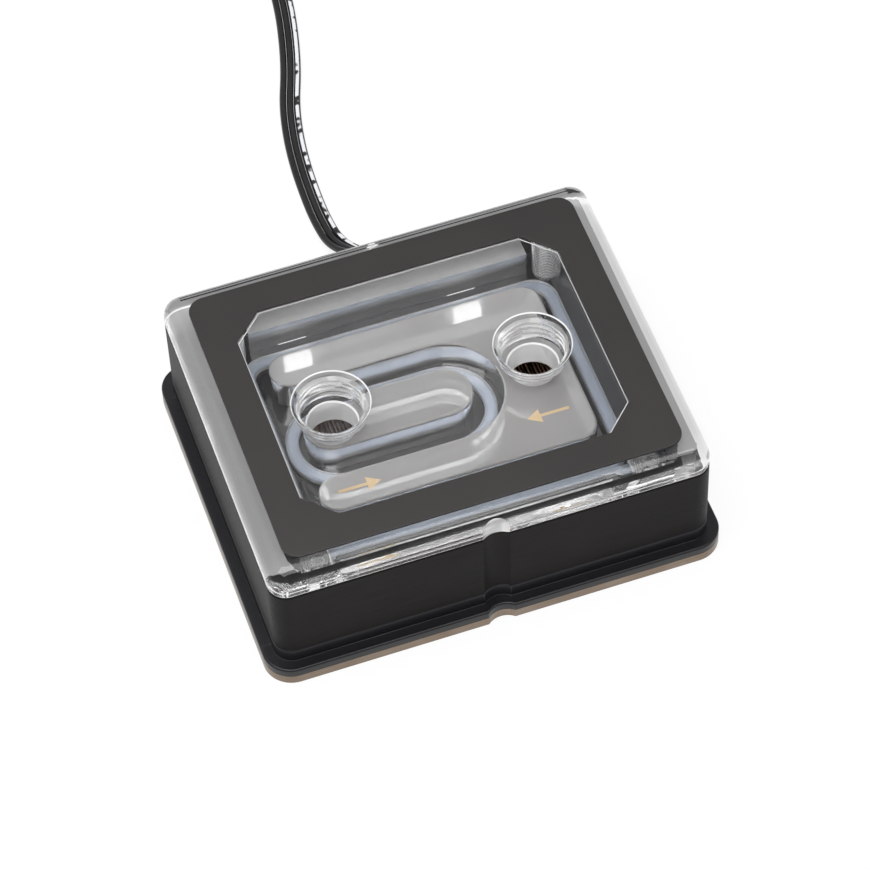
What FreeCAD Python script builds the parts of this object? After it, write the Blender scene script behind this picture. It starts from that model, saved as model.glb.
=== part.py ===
"""Liquid cooling cold plate for a processor, as separate solids in millimetres.

Frame: +Z up, +X along the long side, origin at the middle of the copper contact face.
A copper base with skived fins closes a black mounting frame from below. A clear acrylic
top with the coolant channels stands on the frame inside a black body ring. Four screws
from beneath clamp the stack. A light strip stands behind the acrylic, and its flat lead
leaves through a grommet in the back wall.
"""

import math
import os

import FreeCAD
import Part

Vector = FreeCAD.Vector

# Outlines, as half sizes from the middle.
BODY_HALF_X = 41.0
BODY_HALF_Y = 34.15
BODY_CORNER = 3.5
LIP = 2.15                     # the base and its flange stand this far outside the body
BASE_CORNER = 5.3

# Heights of the layers, each measured by itself.
COPPER_THICK = 2.0
FLANGE_THICK = 1.75
STEP_THICK = 2.9
RING_HEIGHT = 16.45
TOP_FLANGE_THICK = 5.3
TAPE_THICK = 0.1
COVER_THICK = 0.5

# Half-round locating notch in the middle of each long side.
NOTCH_RADIUS = 3.8
NOTCH_DEPTH = 0.95

# Body ring and the block of the acrylic top inside it.
RING_WALL_X = 4.6
RING_WALL_Y = 4.6
RING_INNER_CORNER = 2.2
RING_FIT = 0.1                  # gap round the acrylic
EDGE_BREAK = 0.25               # chamfer on the black edges
TOP_FILLET = 3.4                # large round on the acrylic's upper rim

# Cover plate on the acrylic.
COVER_HALF_X = 37.0
COVER_HALF_Y = 30.3
COVER_CORNER = 3.2
COVER_BORDER_X = 6.34           # from the plate's edge to its window
COVER_BORDER_Y = 6.44
WINDOW_CUT = 5.5
TAPE_INSET = 0.3

# Ports with G1/4 parallel threads. The wall is the tapping size.
PORT_IN_X = -19.0
PORT_OUT_X = 19.1
PORT_THREAD_RADIUS = 5.9
PORT_RIM_RADIUS = 7.2
PORT_THREAD_DEPTH = 5.9
PORT_BORE_RADIUS = 4.6

# Coolant channels, milled into the underside of the acrylic.
CHANNEL_DEPTH = 10.45
SLOT_HALF = 5.37
SLOT_END_X = 2.0
ISLAND_HALF = 10.7
ISLAND_END_X = 2.2
OUTLET_HALF_Y = 18.4
OUTLET_RIGHT_X = 25.8
OUTLET_CORNER = 3.9
ARM_END_X = -22.4

# Seals. Each is squeezed to the height of its groove.
GROOVE_DEPTH = 1.65
SEAL_WIDTH = 2.3
SEAL_GAP = 0.05
SEAL_BULGE = 0.5                # slope between a seal's flat faces and its sides
OUTER_SEAL_AWAY_X = 3.5         # from the outlet channel to the middle of the seal
OUTER_SEAL_AWAY_Y = 3.3
OUTER_SEAL_CORNER = 3.8
INLET_SEAL_HALF = 8.5
INLET_SEAL_AWAY = 0.5           # between the two seals at the left
INLET_SEAL_RIGHT_X = 2.0
BASE_SEAL_AWAY_X = 2.3          # from the fins to the middle of the seal
BASE_SEAL_AWAY_Y = 2.7
BASE_SEAL_CORNER = 3.5
BASE_GROOVE_DEPTH = 1.4
BASE_SEAL_WIDTH = 2.0

# Skived fins and the flow plate on top of them.
FIN_FIELD_HALF_X = 25.9
FIN_FIELD_HALF_Y = 18.2
FIN_PITCH = 0.7
FIN_THICK = 0.3
FIN_WINDOW_GAP = 0.5
FLOW_PLATE_THICK = 1.05
FLOW_PLATE_RIM = 0.9
FLOW_PLATE_CORNER = 2.5
FLOW_PLATE_FIT = 0.1

# Clamping screws.
SCREW_X = 30.8
SCREW_Y = 24.9
SCREW_RADIUS = 2.4
SCREW_HOLE_RADIUS = 2.5
SCREW_CLEARANCE = 0.3
SCREW_END_Z = 12.2
SCREW_HOLE_TOP_Z = 23.6
HEAD_RADIUS = 4.3
HEAD_GAP = 0.1
SOCKET_RADIUS = 1.45
SOCKET_DEPTH = 1.3

# Light strip behind the acrylic.
STRIP_ROOM_HALF_X = 27.0
STRIP_ROOM_Y = 25.3
STRIP_ROOM_HEIGHT = 9.35
STRIP_CHANNEL_DEPTH = 2.25
BOARD_HALF_X = 26.0
BOARD_THICK = 1.0
BOARD_HEIGHT = 5.7
LED_SIDE = 5.0
LED_THICK = 1.6
LED_LENS_RADIUS = 2.0
LED_LENS_DEPTH = 0.2
LED_X = (-18.7, 14.3)
LED_LIFT = 0.1
LED_FRONT_GAP = 0.15
PAD_X = (3.7, 6.1, 20.4, 22.8)
PAD_WIDTH = 2.0
PAD_HEIGHT = 1.5
PAD_PITCH = 1.9
PAD_THICK = 0.08
CHIP_X = (-24.0, -12.6, 9.0, 18.6)
CHIP_SIZE = (1.6, 0.8, 0.8)
CHIP_ROW_PITCH = 2.2

# Flat three-core lead and the grommet in the back wall.
CORE_RADIUS = 0.68
CORE_PITCH = 1.4
LEAD_WIDTH = 4.2
EXIT_X = 6.5
EXIT_LIFT = 2.15                # middle of the lead above the ring's lower edge
GROMMET_HALF_X = 3.1
GROMMET_HEIGHT = 4.2
GROMMET_LIP = 0.7
GROMMET_LIP_THICK = 1.2
GROMMET_FIT = 0.05
GROMMET_SLOT_HALF_HEIGHT = 0.8
GROMMET_SLOT_SPARE = 0.1

# Route of the lead after the grommet, chosen by hand: x, y and height of its middle.
LEAD_ROUTE = [
    (6.5, 35.35, 8.8),
    (6.3, 42.4, 8.5),
    (2.2, 48.8, 6.0),
    (-1.3, 55.2, 3.3),
    (-1.9, 62.9, 2.15),
    (-1.75, 70.7, 2.15),
    (-1.3, 78.0, 2.15),
    (-0.3, 85.5, 2.15),
    (1.5, 93.5, 2.15),
    (4.4, 101.5, 2.15),
    (6.7, 110.0, 2.15),
    (8.4, 118.2, 2.15),
    (9.5, 126.0, 2.15),
]
BEND_SHARE = 0.45               # share of the shorter run that an arc takes up

# Stored length: a flat coil on the same surface, with the plug beside it.
COIL_CENTRE = (33.0, 141.0)
COIL_RADIUS = 23.5
COIL_WIDTH = 4.8
COIL_HEIGHT = 5.6
STUB_HEIGHT = 4.2
TIE_THICK = 0.6
TIE_WIDTH = 3.0
PLUG_LENGTH = 14.0
PLUG_WIDTH = 10.2
PLUG_HEIGHT = 3.0
PLUG_ROUND = 0.4
PLUG_RIB = (7.0, 1.2, 0.45)     # key rib on the top: along, across and above it
PLUG_GAP = 0.5                 # between the coil and the plug's nearest corner
PLUG_PINS = 3
PLUG_PIN_PITCH = 2.54
PLUG_HOLE = 1.1
PLUG_HOLE_DEPTH = 9.0
CONTACT_WALL = 0.2

# Heights that follow from the layers.
FLANGE_BASE_Z = COPPER_THICK
FLANGE_TOP_Z = FLANGE_BASE_Z + FLANGE_THICK
FRAME_TOP_Z = FLANGE_TOP_Z + STEP_THICK
RING_TOP_Z = FRAME_TOP_Z + RING_HEIGHT
TOP_Z = RING_TOP_Z + TOP_FLANGE_THICK
COVER_BASE_Z = TOP_Z + TAPE_THICK
COVER_TOP_Z = COVER_BASE_Z + COVER_THICK
CHANNEL_TOP_Z = FRAME_TOP_Z + CHANNEL_DEPTH
FIN_TOP_Z = FRAME_TOP_Z - FLOW_PLATE_THICK - SEAL_GAP
BASE_HALF_X = BODY_HALF_X + LIP
BASE_HALF_Y = BODY_HALF_Y + LIP
RING_IN_X = BODY_HALF_X - RING_WALL_X
RING_IN_Y = BODY_HALF_Y - RING_WALL_Y
EXIT_Z = FRAME_TOP_Z + EXIT_LIFT
CHANNEL_FLOOR_Z = FRAME_TOP_Z - STRIP_CHANNEL_DEPTH
BOARD_FRONT_Y = STRIP_ROOM_Y + LED_FRONT_GAP + LED_THICK
WINDOW_HALF_X = COVER_HALF_X - COVER_BORDER_X
WINDOW_HALF_Y = COVER_HALF_Y - COVER_BORDER_Y
OUTER_SEAL_HALF_X = OUTLET_RIGHT_X + OUTER_SEAL_AWAY_X
OUTER_SEAL_HALF_Y = OUTLET_HALF_Y + OUTER_SEAL_AWAY_Y
INLET_SEAL_LEFT_X = INLET_SEAL_HALF + SEAL_WIDTH + INLET_SEAL_AWAY - OUTER_SEAL_HALF_X
BASE_SEAL_HALF_X = FIN_FIELD_HALF_X + BASE_SEAL_AWAY_X
BASE_SEAL_HALF_Y = FIN_FIELD_HALF_Y + BASE_SEAL_AWAY_Y
COIL_OUT_RADIUS = COIL_RADIUS + COIL_WIDTH / 2
PLUG_REACH = math.sqrt(COIL_OUT_RADIUS ** 2 - (COIL_RADIUS - PLUG_WIDTH / 2) ** 2)
PLUG_X = COIL_CENTRE[0] + PLUG_REACH + PLUG_GAP


def is_vertical(edge):
    """True where a straight edge runs along Z."""
    ends = edge.Vertexes
    return len(ends) == 2 and abs(ends[0].X - ends[1].X) + abs(ends[0].Y - ends[1].Y) < 1e-6


def block(half_x, half_y, corner, z0, z1, x=0.0, y=0.0):
    """Upright block about (x, y) with its four upright edges rounded."""
    box = Part.makeBox(2 * half_x, 2 * half_y, z1 - z0, Vector(x - half_x, y - half_y, z0))
    return box.makeFillet(corner, [e for e in box.Edges if is_vertical(e)])


def outline(start, moves, z0, z1):
    """Prism on an outline of lines and arcs: a move is its end, or a middle and an end."""
    edges = []
    here = Vector(start[0], start[1], z0)
    for move in moves:
        points = [Vector(p[0], p[1], z0) for p in move]
        if len(points) == 1:
            edges.append(Part.LineSegment(here, points[0]).toShape())
        else:
            edges.append(Part.Arc(here, points[0], points[1]).toShape())
        here = points[-1]
    return Part.Face(Part.Wire(edges)).extrude(Vector(0, 0, z1 - z0))


def stadium(left_x, right_x, half, z0, z1):
    """Long hole or island along X with round ends, about y = 0."""
    moves = [
        [(right_x, -half)],
        [(right_x + half, 0), (right_x, half)],
        [(left_x, half)],
        [(left_x - half, 0), (left_x, -half)],
    ]
    return outline((left_x, -half), moves, z0, z1)


def cylinder(radius, x, y, z0, z1):
    """Upright cylinder."""
    return Part.makeCylinder(radius, z1 - z0, Vector(x, y, z0))


def corners(x, y):
    """The four places at plus and minus x and y."""
    return [(sx * x, sy * y) for sx in (-1, 1) for sy in (-1, 1)]


def notches(half_y, z0, z1):
    """Cutters of the locating notches in the front and back of an outline."""
    away = half_y - NOTCH_DEPTH + NOTCH_RADIUS
    return [cylinder(NOTCH_RADIUS, 0, side * away, z0, z1) for side in (-1, 1)]


def rim_edges(shape, z, half_x, half_y):
    """Edges of the outer outline at height z."""
    reach = NOTCH_DEPTH + 0.25
    found = []
    for edge in shape.Edges:
        box = edge.BoundBox
        middle = edge.valueAt((edge.FirstParameter + edge.LastParameter) / 2)
        level = abs(box.ZMin - z) < 1e-6 and abs(box.ZMax - z) < 1e-6
        if level and (abs(middle.x) > half_x - reach or abs(middle.y) > half_y - reach):
            found.append(edge)
    return found


def broken(shape, levels, half_x, half_y):
    """Shape with its outer edges at the given heights chamfered."""
    for z in levels:
        shape = shape.makeChamfer(EDGE_BREAK, rim_edges(shape, z, half_x, half_y))
    return shape


def seal(inner, outer):
    """Squeezed O-ring between two prisms, bulging towards the middle of its sides."""
    ring = outer.cut(inner)
    flat = [e for e in ring.Edges if not is_vertical(e)]
    return ring.makeChamfer(SEAL_BULGE, flat)


def outlet_channel(z0, z1):
    """C-shaped channel that goes round the island, open to the right-hand port."""
    arm = (OUTLET_HALF_Y - ISLAND_HALF) / 2
    arm_y = ISLAND_HALF + arm
    bend = OUTLET_CORNER * (1 - math.sqrt(0.5))
    right = OUTLET_RIGHT_X
    top = OUTLET_HALF_Y
    moves = [
        [(right - OUTLET_CORNER, -top)],
        [(right - bend, -top + bend), (right, -top + OUTLET_CORNER)],
        [(right, top - OUTLET_CORNER)],
        [(right - bend, top - bend), (right - OUTLET_CORNER, top)],
        [(ARM_END_X, top)],
        [(ARM_END_X - arm, arm_y), (ARM_END_X, ISLAND_HALF)],
        [(ISLAND_END_X, ISLAND_HALF)],
        [(ISLAND_END_X + ISLAND_HALF, 0), (ISLAND_END_X, -ISLAND_HALF)],
        [(ARM_END_X, -ISLAND_HALF)],
        [(ARM_END_X - arm, -arm_y), (ARM_END_X, -top)],
    ]
    return outline((ARM_END_X, -top), moves, z0, z1)


def inlet_channel(z0, z1):
    """Slot from the left-hand port to the middle."""
    return stadium(PORT_IN_X, SLOT_END_X, SLOT_HALF, z0, z1)


def seal_outline(half_x, half_y, corner, offset, z0, z1):
    """Rounded outline moved out by offset."""
    return block(half_x + offset, half_y + offset, corner + offset, z0, z1)


def inlet_seal_outline(offset, z0, z1):
    """Round-ended outline of the inner seal, moved out by offset."""
    return stadium(INLET_SEAL_LEFT_X, INLET_SEAL_RIGHT_X, INLET_SEAL_HALF + offset, z0, z1)


def make_cold_plate():
    """Copper base with the comb of skived fins, notches and countersunk holes."""
    plate = block(BASE_HALF_X, BASE_HALF_Y, BASE_CORNER, 0, COPPER_THICK)
    plate = plate.cut(notches(BASE_HALF_Y, 0, COPPER_THICK))
    for x, y in corners(SCREW_X, SCREW_Y):
        wide = HEAD_RADIUS + HEAD_GAP + 0.1
        narrow = wide - COPPER_THICK
        cone = Part.makeCone(wide, narrow, COPPER_THICK, Vector(x, y, 0))
        plate = plate.cut(cone.fuse(cylinder(SCREW_RADIUS + 0.2, x, y, 0, COPPER_THICK)))
    count = int((2 * FIN_FIELD_HALF_X - FIN_THICK) / FIN_PITCH) + 1
    first = -(count - 1) * FIN_PITCH / 2 - FIN_THICK / 2
    root = COPPER_THICK / 2
    points = [(first, root)]
    for i in range(count):
        left = first + i * FIN_PITCH
        points += [(left, FIN_TOP_Z), (left + FIN_THICK, FIN_TOP_Z)]
        if i < count - 1:
            points += [(left + FIN_THICK, COPPER_THICK), (left + FIN_PITCH, COPPER_THICK)]
    points += [(-first, root), (first, root)]
    wire = Part.makePolygon([Vector(x, -FIN_FIELD_HALF_Y, z) for x, z in points])
    comb = Part.Face(wire).extrude(Vector(0, 2 * FIN_FIELD_HALF_Y, 0))
    return plate.fuse(comb).removeSplitter()


def make_mounting_frame():
    """Black frame: flange for the bracket, step under the body, fin window and grooves."""
    frame = block(BASE_HALF_X, BASE_HALF_Y, BASE_CORNER, FLANGE_BASE_Z, FLANGE_TOP_Z)
    frame = frame.cut(notches(BASE_HALF_Y, FLANGE_BASE_Z, FLANGE_TOP_Z))
    frame = broken(frame, [FLANGE_TOP_Z], BASE_HALF_X, BASE_HALF_Y)
    step = block(BODY_HALF_X, BODY_HALF_Y, BODY_CORNER, FLANGE_BASE_Z, FRAME_TOP_Z)
    step = step.cut(notches(BODY_HALF_Y, FLANGE_BASE_Z, FRAME_TOP_Z))
    step = broken(step, [FRAME_TOP_Z], BODY_HALF_X, BODY_HALF_Y)
    frame = frame.fuse(step)
    window_x = FIN_FIELD_HALF_X + FIN_WINDOW_GAP
    window_y = FIN_FIELD_HALF_Y + FIN_WINDOW_GAP
    cutters = [
        block(window_x, window_y, 1.0, FLANGE_BASE_Z, FRAME_TOP_Z),
        block(
            window_x + FLOW_PLATE_RIM,
            window_y + FLOW_PLATE_RIM,
            FLOW_PLATE_CORNER,
            FIN_TOP_Z,
            FRAME_TOP_Z,
        ),
        block(
            STRIP_ROOM_HALF_X,
            (RING_IN_Y - STRIP_ROOM_Y) / 2,
            0.8,
            CHANNEL_FLOOR_Z,
            FRAME_TOP_Z,
            0,
            (RING_IN_Y + STRIP_ROOM_Y) / 2,
        ),
    ]
    for x, y in corners(SCREW_X, SCREW_Y):
        radius = SCREW_RADIUS + SCREW_CLEARANCE
        cutters.append(cylinder(radius, x, y, FLANGE_BASE_Z, FRAME_TOP_Z))
    frame = frame.cut(cutters)
    half = BASE_SEAL_WIDTH / 2 + SEAL_GAP
    top = FLANGE_BASE_Z + BASE_GROOVE_DEPTH
    sizes = (BASE_SEAL_HALF_X, BASE_SEAL_HALF_Y, BASE_SEAL_CORNER)
    groove = seal_outline(*sizes, half, FLANGE_BASE_Z, top)
    groove = groove.cut(seal_outline(*sizes, -half, FLANGE_BASE_Z, top))
    return frame.cut(groove)


def make_base_o_ring():
    """Seal between the copper and the frame."""
    sizes = (BASE_SEAL_HALF_X, BASE_SEAL_HALF_Y, BASE_SEAL_CORNER)
    top = FLANGE_BASE_Z + BASE_GROOVE_DEPTH
    half = BASE_SEAL_WIDTH / 2
    inner = seal_outline(*sizes, -half, FLANGE_BASE_Z, top)
    return seal(inner, seal_outline(*sizes, half, FLANGE_BASE_Z, top))


def make_flow_plate():
    """Plate on the fins that guides the coolant down the middle and up at both sides."""
    half_x = FIN_FIELD_HALF_X + FIN_WINDOW_GAP + FLOW_PLATE_RIM - FLOW_PLATE_FIT
    half_y = FIN_FIELD_HALF_Y + FIN_WINDOW_GAP + FLOW_PLATE_RIM - FLOW_PLATE_FIT
    top = FIN_TOP_Z + FLOW_PLATE_THICK
    plate = block(half_x, half_y, FLOW_PLATE_CORNER, FIN_TOP_Z, top)
    return plate.cut([inlet_channel(FIN_TOP_Z, top), outlet_channel(FIN_TOP_Z, top)])


def make_body_ring():
    """Black surround with the notches and the way out for the grommet."""
    ring = block(BODY_HALF_X, BODY_HALF_Y, BODY_CORNER, FRAME_TOP_Z, RING_TOP_Z)
    ring = ring.cut(notches(BODY_HALF_Y, FRAME_TOP_Z, RING_TOP_Z))
    ring = ring.cut(block(RING_IN_X, RING_IN_Y, RING_INNER_CORNER, FRAME_TOP_Z, RING_TOP_Z))
    ring = broken(ring, [FRAME_TOP_Z, RING_TOP_Z], BODY_HALF_X, BODY_HALF_Y)
    half = GROMMET_HALF_X + GROMMET_FIT
    height = GROMMET_HEIGHT + GROMMET_FIT
    corner = Vector(EXIT_X - half, RING_IN_Y - 1, FRAME_TOP_Z)
    return ring.cut(Part.makeBox(2 * half, RING_WALL_Y + 2, height, corner))


def make_acrylic_top():
    """Clear top: rounded rim, ports, channels, seal grooves, screw holes and strip room."""
    rim = block(BODY_HALF_X, BODY_HALF_Y, BODY_CORNER, RING_TOP_Z, TOP_Z)
    rim = rim.makeFillet(TOP_FILLET, rim_edges(rim, TOP_Z, BODY_HALF_X, BODY_HALF_Y))
    lower_x = RING_IN_X - RING_FIT
    lower_y = RING_IN_Y - RING_FIT
    corner = RING_INNER_CORNER - RING_FIT
    solid = rim.fuse(block(lower_x, lower_y, corner, FRAME_TOP_Z, RING_TOP_Z))
    cutters = notches(BODY_HALF_Y, RING_TOP_Z, TOP_Z)
    cutters.append(inlet_channel(FRAME_TOP_Z, CHANNEL_TOP_Z))
    cutters.append(outlet_channel(FRAME_TOP_Z, CHANNEL_TOP_Z))
    for x in (PORT_IN_X, PORT_OUT_X):
        drop = PORT_RIM_RADIUS - PORT_THREAD_RADIUS
        cutters.append(cylinder(PORT_BORE_RADIUS, x, 0, FRAME_TOP_Z, TOP_Z))
        cutters.append(cylinder(PORT_THREAD_RADIUS, x, 0, TOP_Z - PORT_THREAD_DEPTH, TOP_Z))
        place = Vector(x, 0, TOP_Z - drop)
        cutters.append(Part.makeCone(PORT_THREAD_RADIUS, PORT_RIM_RADIUS, drop, place))
    for x, y in corners(SCREW_X, SCREW_Y):
        cutters.append(cylinder(SCREW_HOLE_RADIUS, x, y, FRAME_TOP_Z, SCREW_HOLE_TOP_Z))
    depth = lower_y - STRIP_ROOM_Y
    place = Vector(-STRIP_ROOM_HALF_X, STRIP_ROOM_Y, FRAME_TOP_Z)
    cutters.append(Part.makeBox(2 * STRIP_ROOM_HALF_X, depth, STRIP_ROOM_HEIGHT, place))
    for groove in make_top_grooves():
        cutters.append(groove)
    return solid.cut(cutters).removeSplitter()


def make_top_grooves():
    """The two seal grooves in the underside of the acrylic."""
    half = SEAL_WIDTH / 2 + SEAL_GAP
    top = FRAME_TOP_Z + GROOVE_DEPTH
    sizes = (OUTER_SEAL_HALF_X, OUTER_SEAL_HALF_Y, OUTER_SEAL_CORNER)
    outer = seal_outline(*sizes, half, FRAME_TOP_Z, top)
    outer = outer.cut(seal_outline(*sizes, -half, FRAME_TOP_Z, top))
    inner = inlet_seal_outline(half, FRAME_TOP_Z, top)
    inner = inner.cut(inlet_seal_outline(-half, FRAME_TOP_Z, top))
    return [outer, inner]


def make_outer_o_ring():
    """Seal round both channels, between the acrylic and the frame."""
    sizes = (OUTER_SEAL_HALF_X, OUTER_SEAL_HALF_Y, OUTER_SEAL_CORNER)
    top = FRAME_TOP_Z + GROOVE_DEPTH
    half = SEAL_WIDTH / 2
    inner = seal_outline(*sizes, -half, FRAME_TOP_Z, top)
    return seal(inner, seal_outline(*sizes, half, FRAME_TOP_Z, top))


def make_inlet_o_ring():
    """Seal round the inlet slot, between the acrylic and the flow plate."""
    bottom = FIN_TOP_Z + FLOW_PLATE_THICK
    top = FRAME_TOP_Z + GROOVE_DEPTH
    half = SEAL_WIDTH / 2
    return seal(inlet_seal_outline(-half, bottom, top), inlet_seal_outline(half, bottom, top))


def octagon(half_x, half_y, cut, z0, z1):
    """Prism on a rectangle with its corners cut off."""
    moves = [
        [(half_x - cut, -half_y)],
        [(half_x, -half_y + cut)],
        [(half_x, half_y - cut)],
        [(half_x - cut, half_y)],
        [(-half_x + cut, half_y)],
        [(-half_x, half_y - cut)],
        [(-half_x, -half_y + cut)],
        [(-half_x + cut, -half_y)],
    ]
    return outline((-half_x + cut, -half_y), moves, z0, z1)


def make_cover(inset, z0, z1):
    """Flat frame with an eight-sided window, set in from both its edges."""
    plate = block(COVER_HALF_X - inset, COVER_HALF_Y - inset, COVER_CORNER - inset, z0, z1)
    half_x = WINDOW_HALF_X + inset
    half_y = WINDOW_HALF_Y + inset
    return plate.cut(octagon(half_x, half_y, WINDOW_CUT, z0, z1))


def make_screws():
    """Four countersunk screws with socket heads, put in from beneath."""
    screws = []
    for x, y in corners(SCREW_X, SCREW_Y):
        drop = HEAD_RADIUS - SCREW_RADIUS
        head = Part.makeCone(HEAD_RADIUS, SCREW_RADIUS, drop, Vector(x, y, HEAD_GAP))
        shank = cylinder(SCREW_RADIUS, x, y, HEAD_GAP + drop, SCREW_END_Z - 0.5)
        tip = Part.makeCone(SCREW_RADIUS, SCREW_RADIUS - 0.5, 0.5, Vector(x, y, SCREW_END_Z - 0.5))
        screw = head.fuse([shank, tip])
        ring = [Vector(SOCKET_RADIUS * math.cos(a), SOCKET_RADIUS * math.sin(a), 0)
                for a in (i * math.pi / 3 for i in range(7))]
        hexagon = Part.Face(Part.makePolygon([p + Vector(x, y, HEAD_GAP) for p in ring]))
        screws.append(screw.cut(hexagon.extrude(Vector(0, 0, SOCKET_DEPTH))).removeSplitter())
    return Part.Compound(screws)


def make_led_board():
    """Narrow circuit board standing on the floor of its channel."""
    place = Vector(-BOARD_HALF_X, BOARD_FRONT_Y, CHANNEL_FLOOR_Z)
    return Part.makeBox(2 * BOARD_HALF_X, BOARD_THICK, BOARD_HEIGHT, place)


def make_leds():
    """Two square LED packages with a round dished lens."""
    leds = []
    z = CHANNEL_FLOOR_Z + LED_LIFT
    for x in LED_X:
        place = Vector(x - LED_SIDE / 2, BOARD_FRONT_Y - LED_THICK, z)
        body = Part.makeBox(LED_SIDE, LED_THICK, LED_SIDE, place)
        middle = Vector(x, BOARD_FRONT_Y - LED_THICK, z + LED_SIDE / 2)
        lens = Part.makeCylinder(LED_LENS_RADIUS, LED_LENS_DEPTH, middle, Vector(0, 1, 0))
        leds.append(body.cut(lens))
    return Part.Compound(leds)


def make_board_chips():
    """Small capacitors beside the LEDs, in pairs."""
    chips = []
    wide, deep, high = CHIP_SIZE
    middle = CHANNEL_FLOOR_Z + BOARD_HEIGHT / 2
    for x in CHIP_X:
        for row in (-0.5, 0.5):
            z = middle + row * CHIP_ROW_PITCH - high / 2
            place = Vector(x - wide / 2, BOARD_FRONT_Y - deep, z)
            chips.append(Part.makeBox(wide, deep, high, place))
    return Part.Compound(chips)


def make_solder_pads():
    """Bare copper pads on the board's face, three above each other."""
    pads = []
    middle = CHANNEL_FLOOR_Z + BOARD_HEIGHT / 2
    for x in PAD_X:
        for row in (-1, 0, 1):
            z = middle + row * PAD_PITCH - PAD_HEIGHT / 2
            place = Vector(x - PAD_WIDTH / 2, BOARD_FRONT_Y - PAD_THICK, z)
            pads.append(Part.makeBox(PAD_WIDTH, PAD_THICK, PAD_HEIGHT, place))
    return Part.Compound(pads)


def make_lead_tails():
    """Ends of the three cores, from the back of the board out through the grommet."""
    start = BOARD_FRONT_Y + BOARD_THICK
    length = BODY_HALF_Y + GROMMET_LIP_THICK - start
    tails = []
    for i in (-1, 0, 1):
        place = Vector(EXIT_X + i * CORE_PITCH, start, EXIT_Z)
        tails.append(Part.makeCylinder(CORE_RADIUS, length, place, Vector(0, 1, 0)))
    return Part.Compound(tails)


def make_grommet():
    """Rubber grommet with a lip outside and a flat slot for the lead."""
    z0 = FRAME_TOP_Z
    width = 2 * GROMMET_HALF_X
    place = Vector(EXIT_X - GROMMET_HALF_X, RING_IN_Y, z0)
    neck = Part.makeBox(width, RING_WALL_Y, GROMMET_HEIGHT, place)
    place = Vector(EXIT_X - GROMMET_HALF_X - GROMMET_LIP, BODY_HALF_Y, z0)
    lip_height = GROMMET_HEIGHT + GROMMET_LIP
    lip = Part.makeBox(width + 2 * GROMMET_LIP, GROMMET_LIP_THICK, lip_height, place)
    outer = BODY_HALF_Y + GROMMET_LIP_THICK
    lip = lip.makeFillet(0.5, [e for e in lip.Edges if e.BoundBox.YMin > outer - 1e-6])
    half = CORE_PITCH + CORE_RADIUS + GROMMET_SLOT_SPARE - GROMMET_SLOT_HALF_HEIGHT
    radius = GROMMET_SLOT_HALF_HEIGHT
    depth = RING_WALL_Y + GROMMET_LIP_THICK
    corner = Vector(EXIT_X - half, RING_IN_Y, EXIT_Z - radius)
    slot = Part.makeBox(2 * half, depth, 2 * radius, corner)
    for side in (-1, 1):
        place = Vector(EXIT_X + side * half, RING_IN_Y, EXIT_Z)
        slot = slot.fuse(Part.makeCylinder(radius, depth, place, Vector(0, 1, 0)))
    return neck.fuse(lip).cut(slot).removeSplitter()


def lead_path():
    """Straight runs of the route joined by tangent arcs."""
    points = [Vector(*p) for p in LEAD_ROUTE]
    edges = []
    here = points[0]
    for before, corner, after in zip(points, points[1:], points[2:]):
        back = (before - corner).normalize()
        ahead = (after - corner).normalize()
        half_turn = (math.pi - back.getAngle(ahead)) / 2
        run = min((before - corner).Length, (after - corner).Length)
        cut = BEND_SHARE * run
        radius = cut / math.tan(half_turn)
        print("lead bend radius %.1f mm, turn %.1f degrees" % (radius, math.degrees(2 * half_turn)))
        start = corner + back * cut
        end = corner + ahead * cut
        inward = (back + ahead).normalize()
        middle = corner + inward * (radius / math.cos(half_turn) - radius)
        edges.append(Part.LineSegment(here, start).toShape())
        edges.append(Part.Arc(start, middle, end).toShape())
        here = end
    edges.append(Part.LineSegment(here, points[-1]).toShape())
    return Part.Wire(edges)


def make_lead():
    """Tube of the lead's width along its route, from the grommet to the coil."""
    path = lead_path()
    start = path.Edges[0]
    direction = start.tangentAt(start.FirstParameter)
    circle = Part.Wire(Part.makeCircle(LEAD_WIDTH / 2, Vector(*LEAD_ROUTE[0]), direction))
    tube = path.makePipeShell([circle], True, True)
    expected = math.pi * (LEAD_WIDTH / 2) ** 2 * path.Length
    print("lead length %.1f mm, volume %.1f of %.1f" % (path.Length, tube.Volume, expected))
    return tube


def make_coil():
    """Outer shape of the coiled length, with its straight way in and out."""
    x, y = COIL_CENTRE
    outer = cylinder(COIL_OUT_RADIUS, x, y, 0, COIL_HEIGHT)
    ring = outer.cut(cylinder(COIL_RADIUS - COIL_WIDTH / 2, x, y, 0, COIL_HEIGHT))
    half = LEAD_WIDTH / 2
    lift = LEAD_ROUTE[-1][2] - half
    start_y = LEAD_ROUTE[-1][1]
    place = Vector(x - COIL_RADIUS - half, start_y, lift)
    way_in = Part.makeBox(LEAD_WIDTH, y - start_y, STUB_HEIGHT, place)
    place = Vector(x, y + COIL_RADIUS - half, lift)
    way_out = Part.makeBox(PLUG_X - x, LEAD_WIDTH, STUB_HEIGHT, place)
    return ring.fuse([way_in, way_out]).cut(tie_block(0)).removeSplitter()


def tie_block(grow):
    """Space of the tie round one place of the coil, or its outside when grown."""
    x, y = COIL_CENTRE
    width = COIL_WIDTH + 2 * grow
    side = y - COIL_RADIUS
    if not grow:
        place = Vector(x - TIE_WIDTH / 2, side - COIL_WIDTH / 2 - TIE_THICK, 0)
        return Part.makeBox(TIE_WIDTH, COIL_WIDTH + 2 * TIE_THICK, TIE_THICK, place)
    height = COIL_HEIGHT + grow
    return Part.makeBox(TIE_WIDTH, width, height, Vector(x - TIE_WIDTH / 2, side - width / 2, 0))


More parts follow.
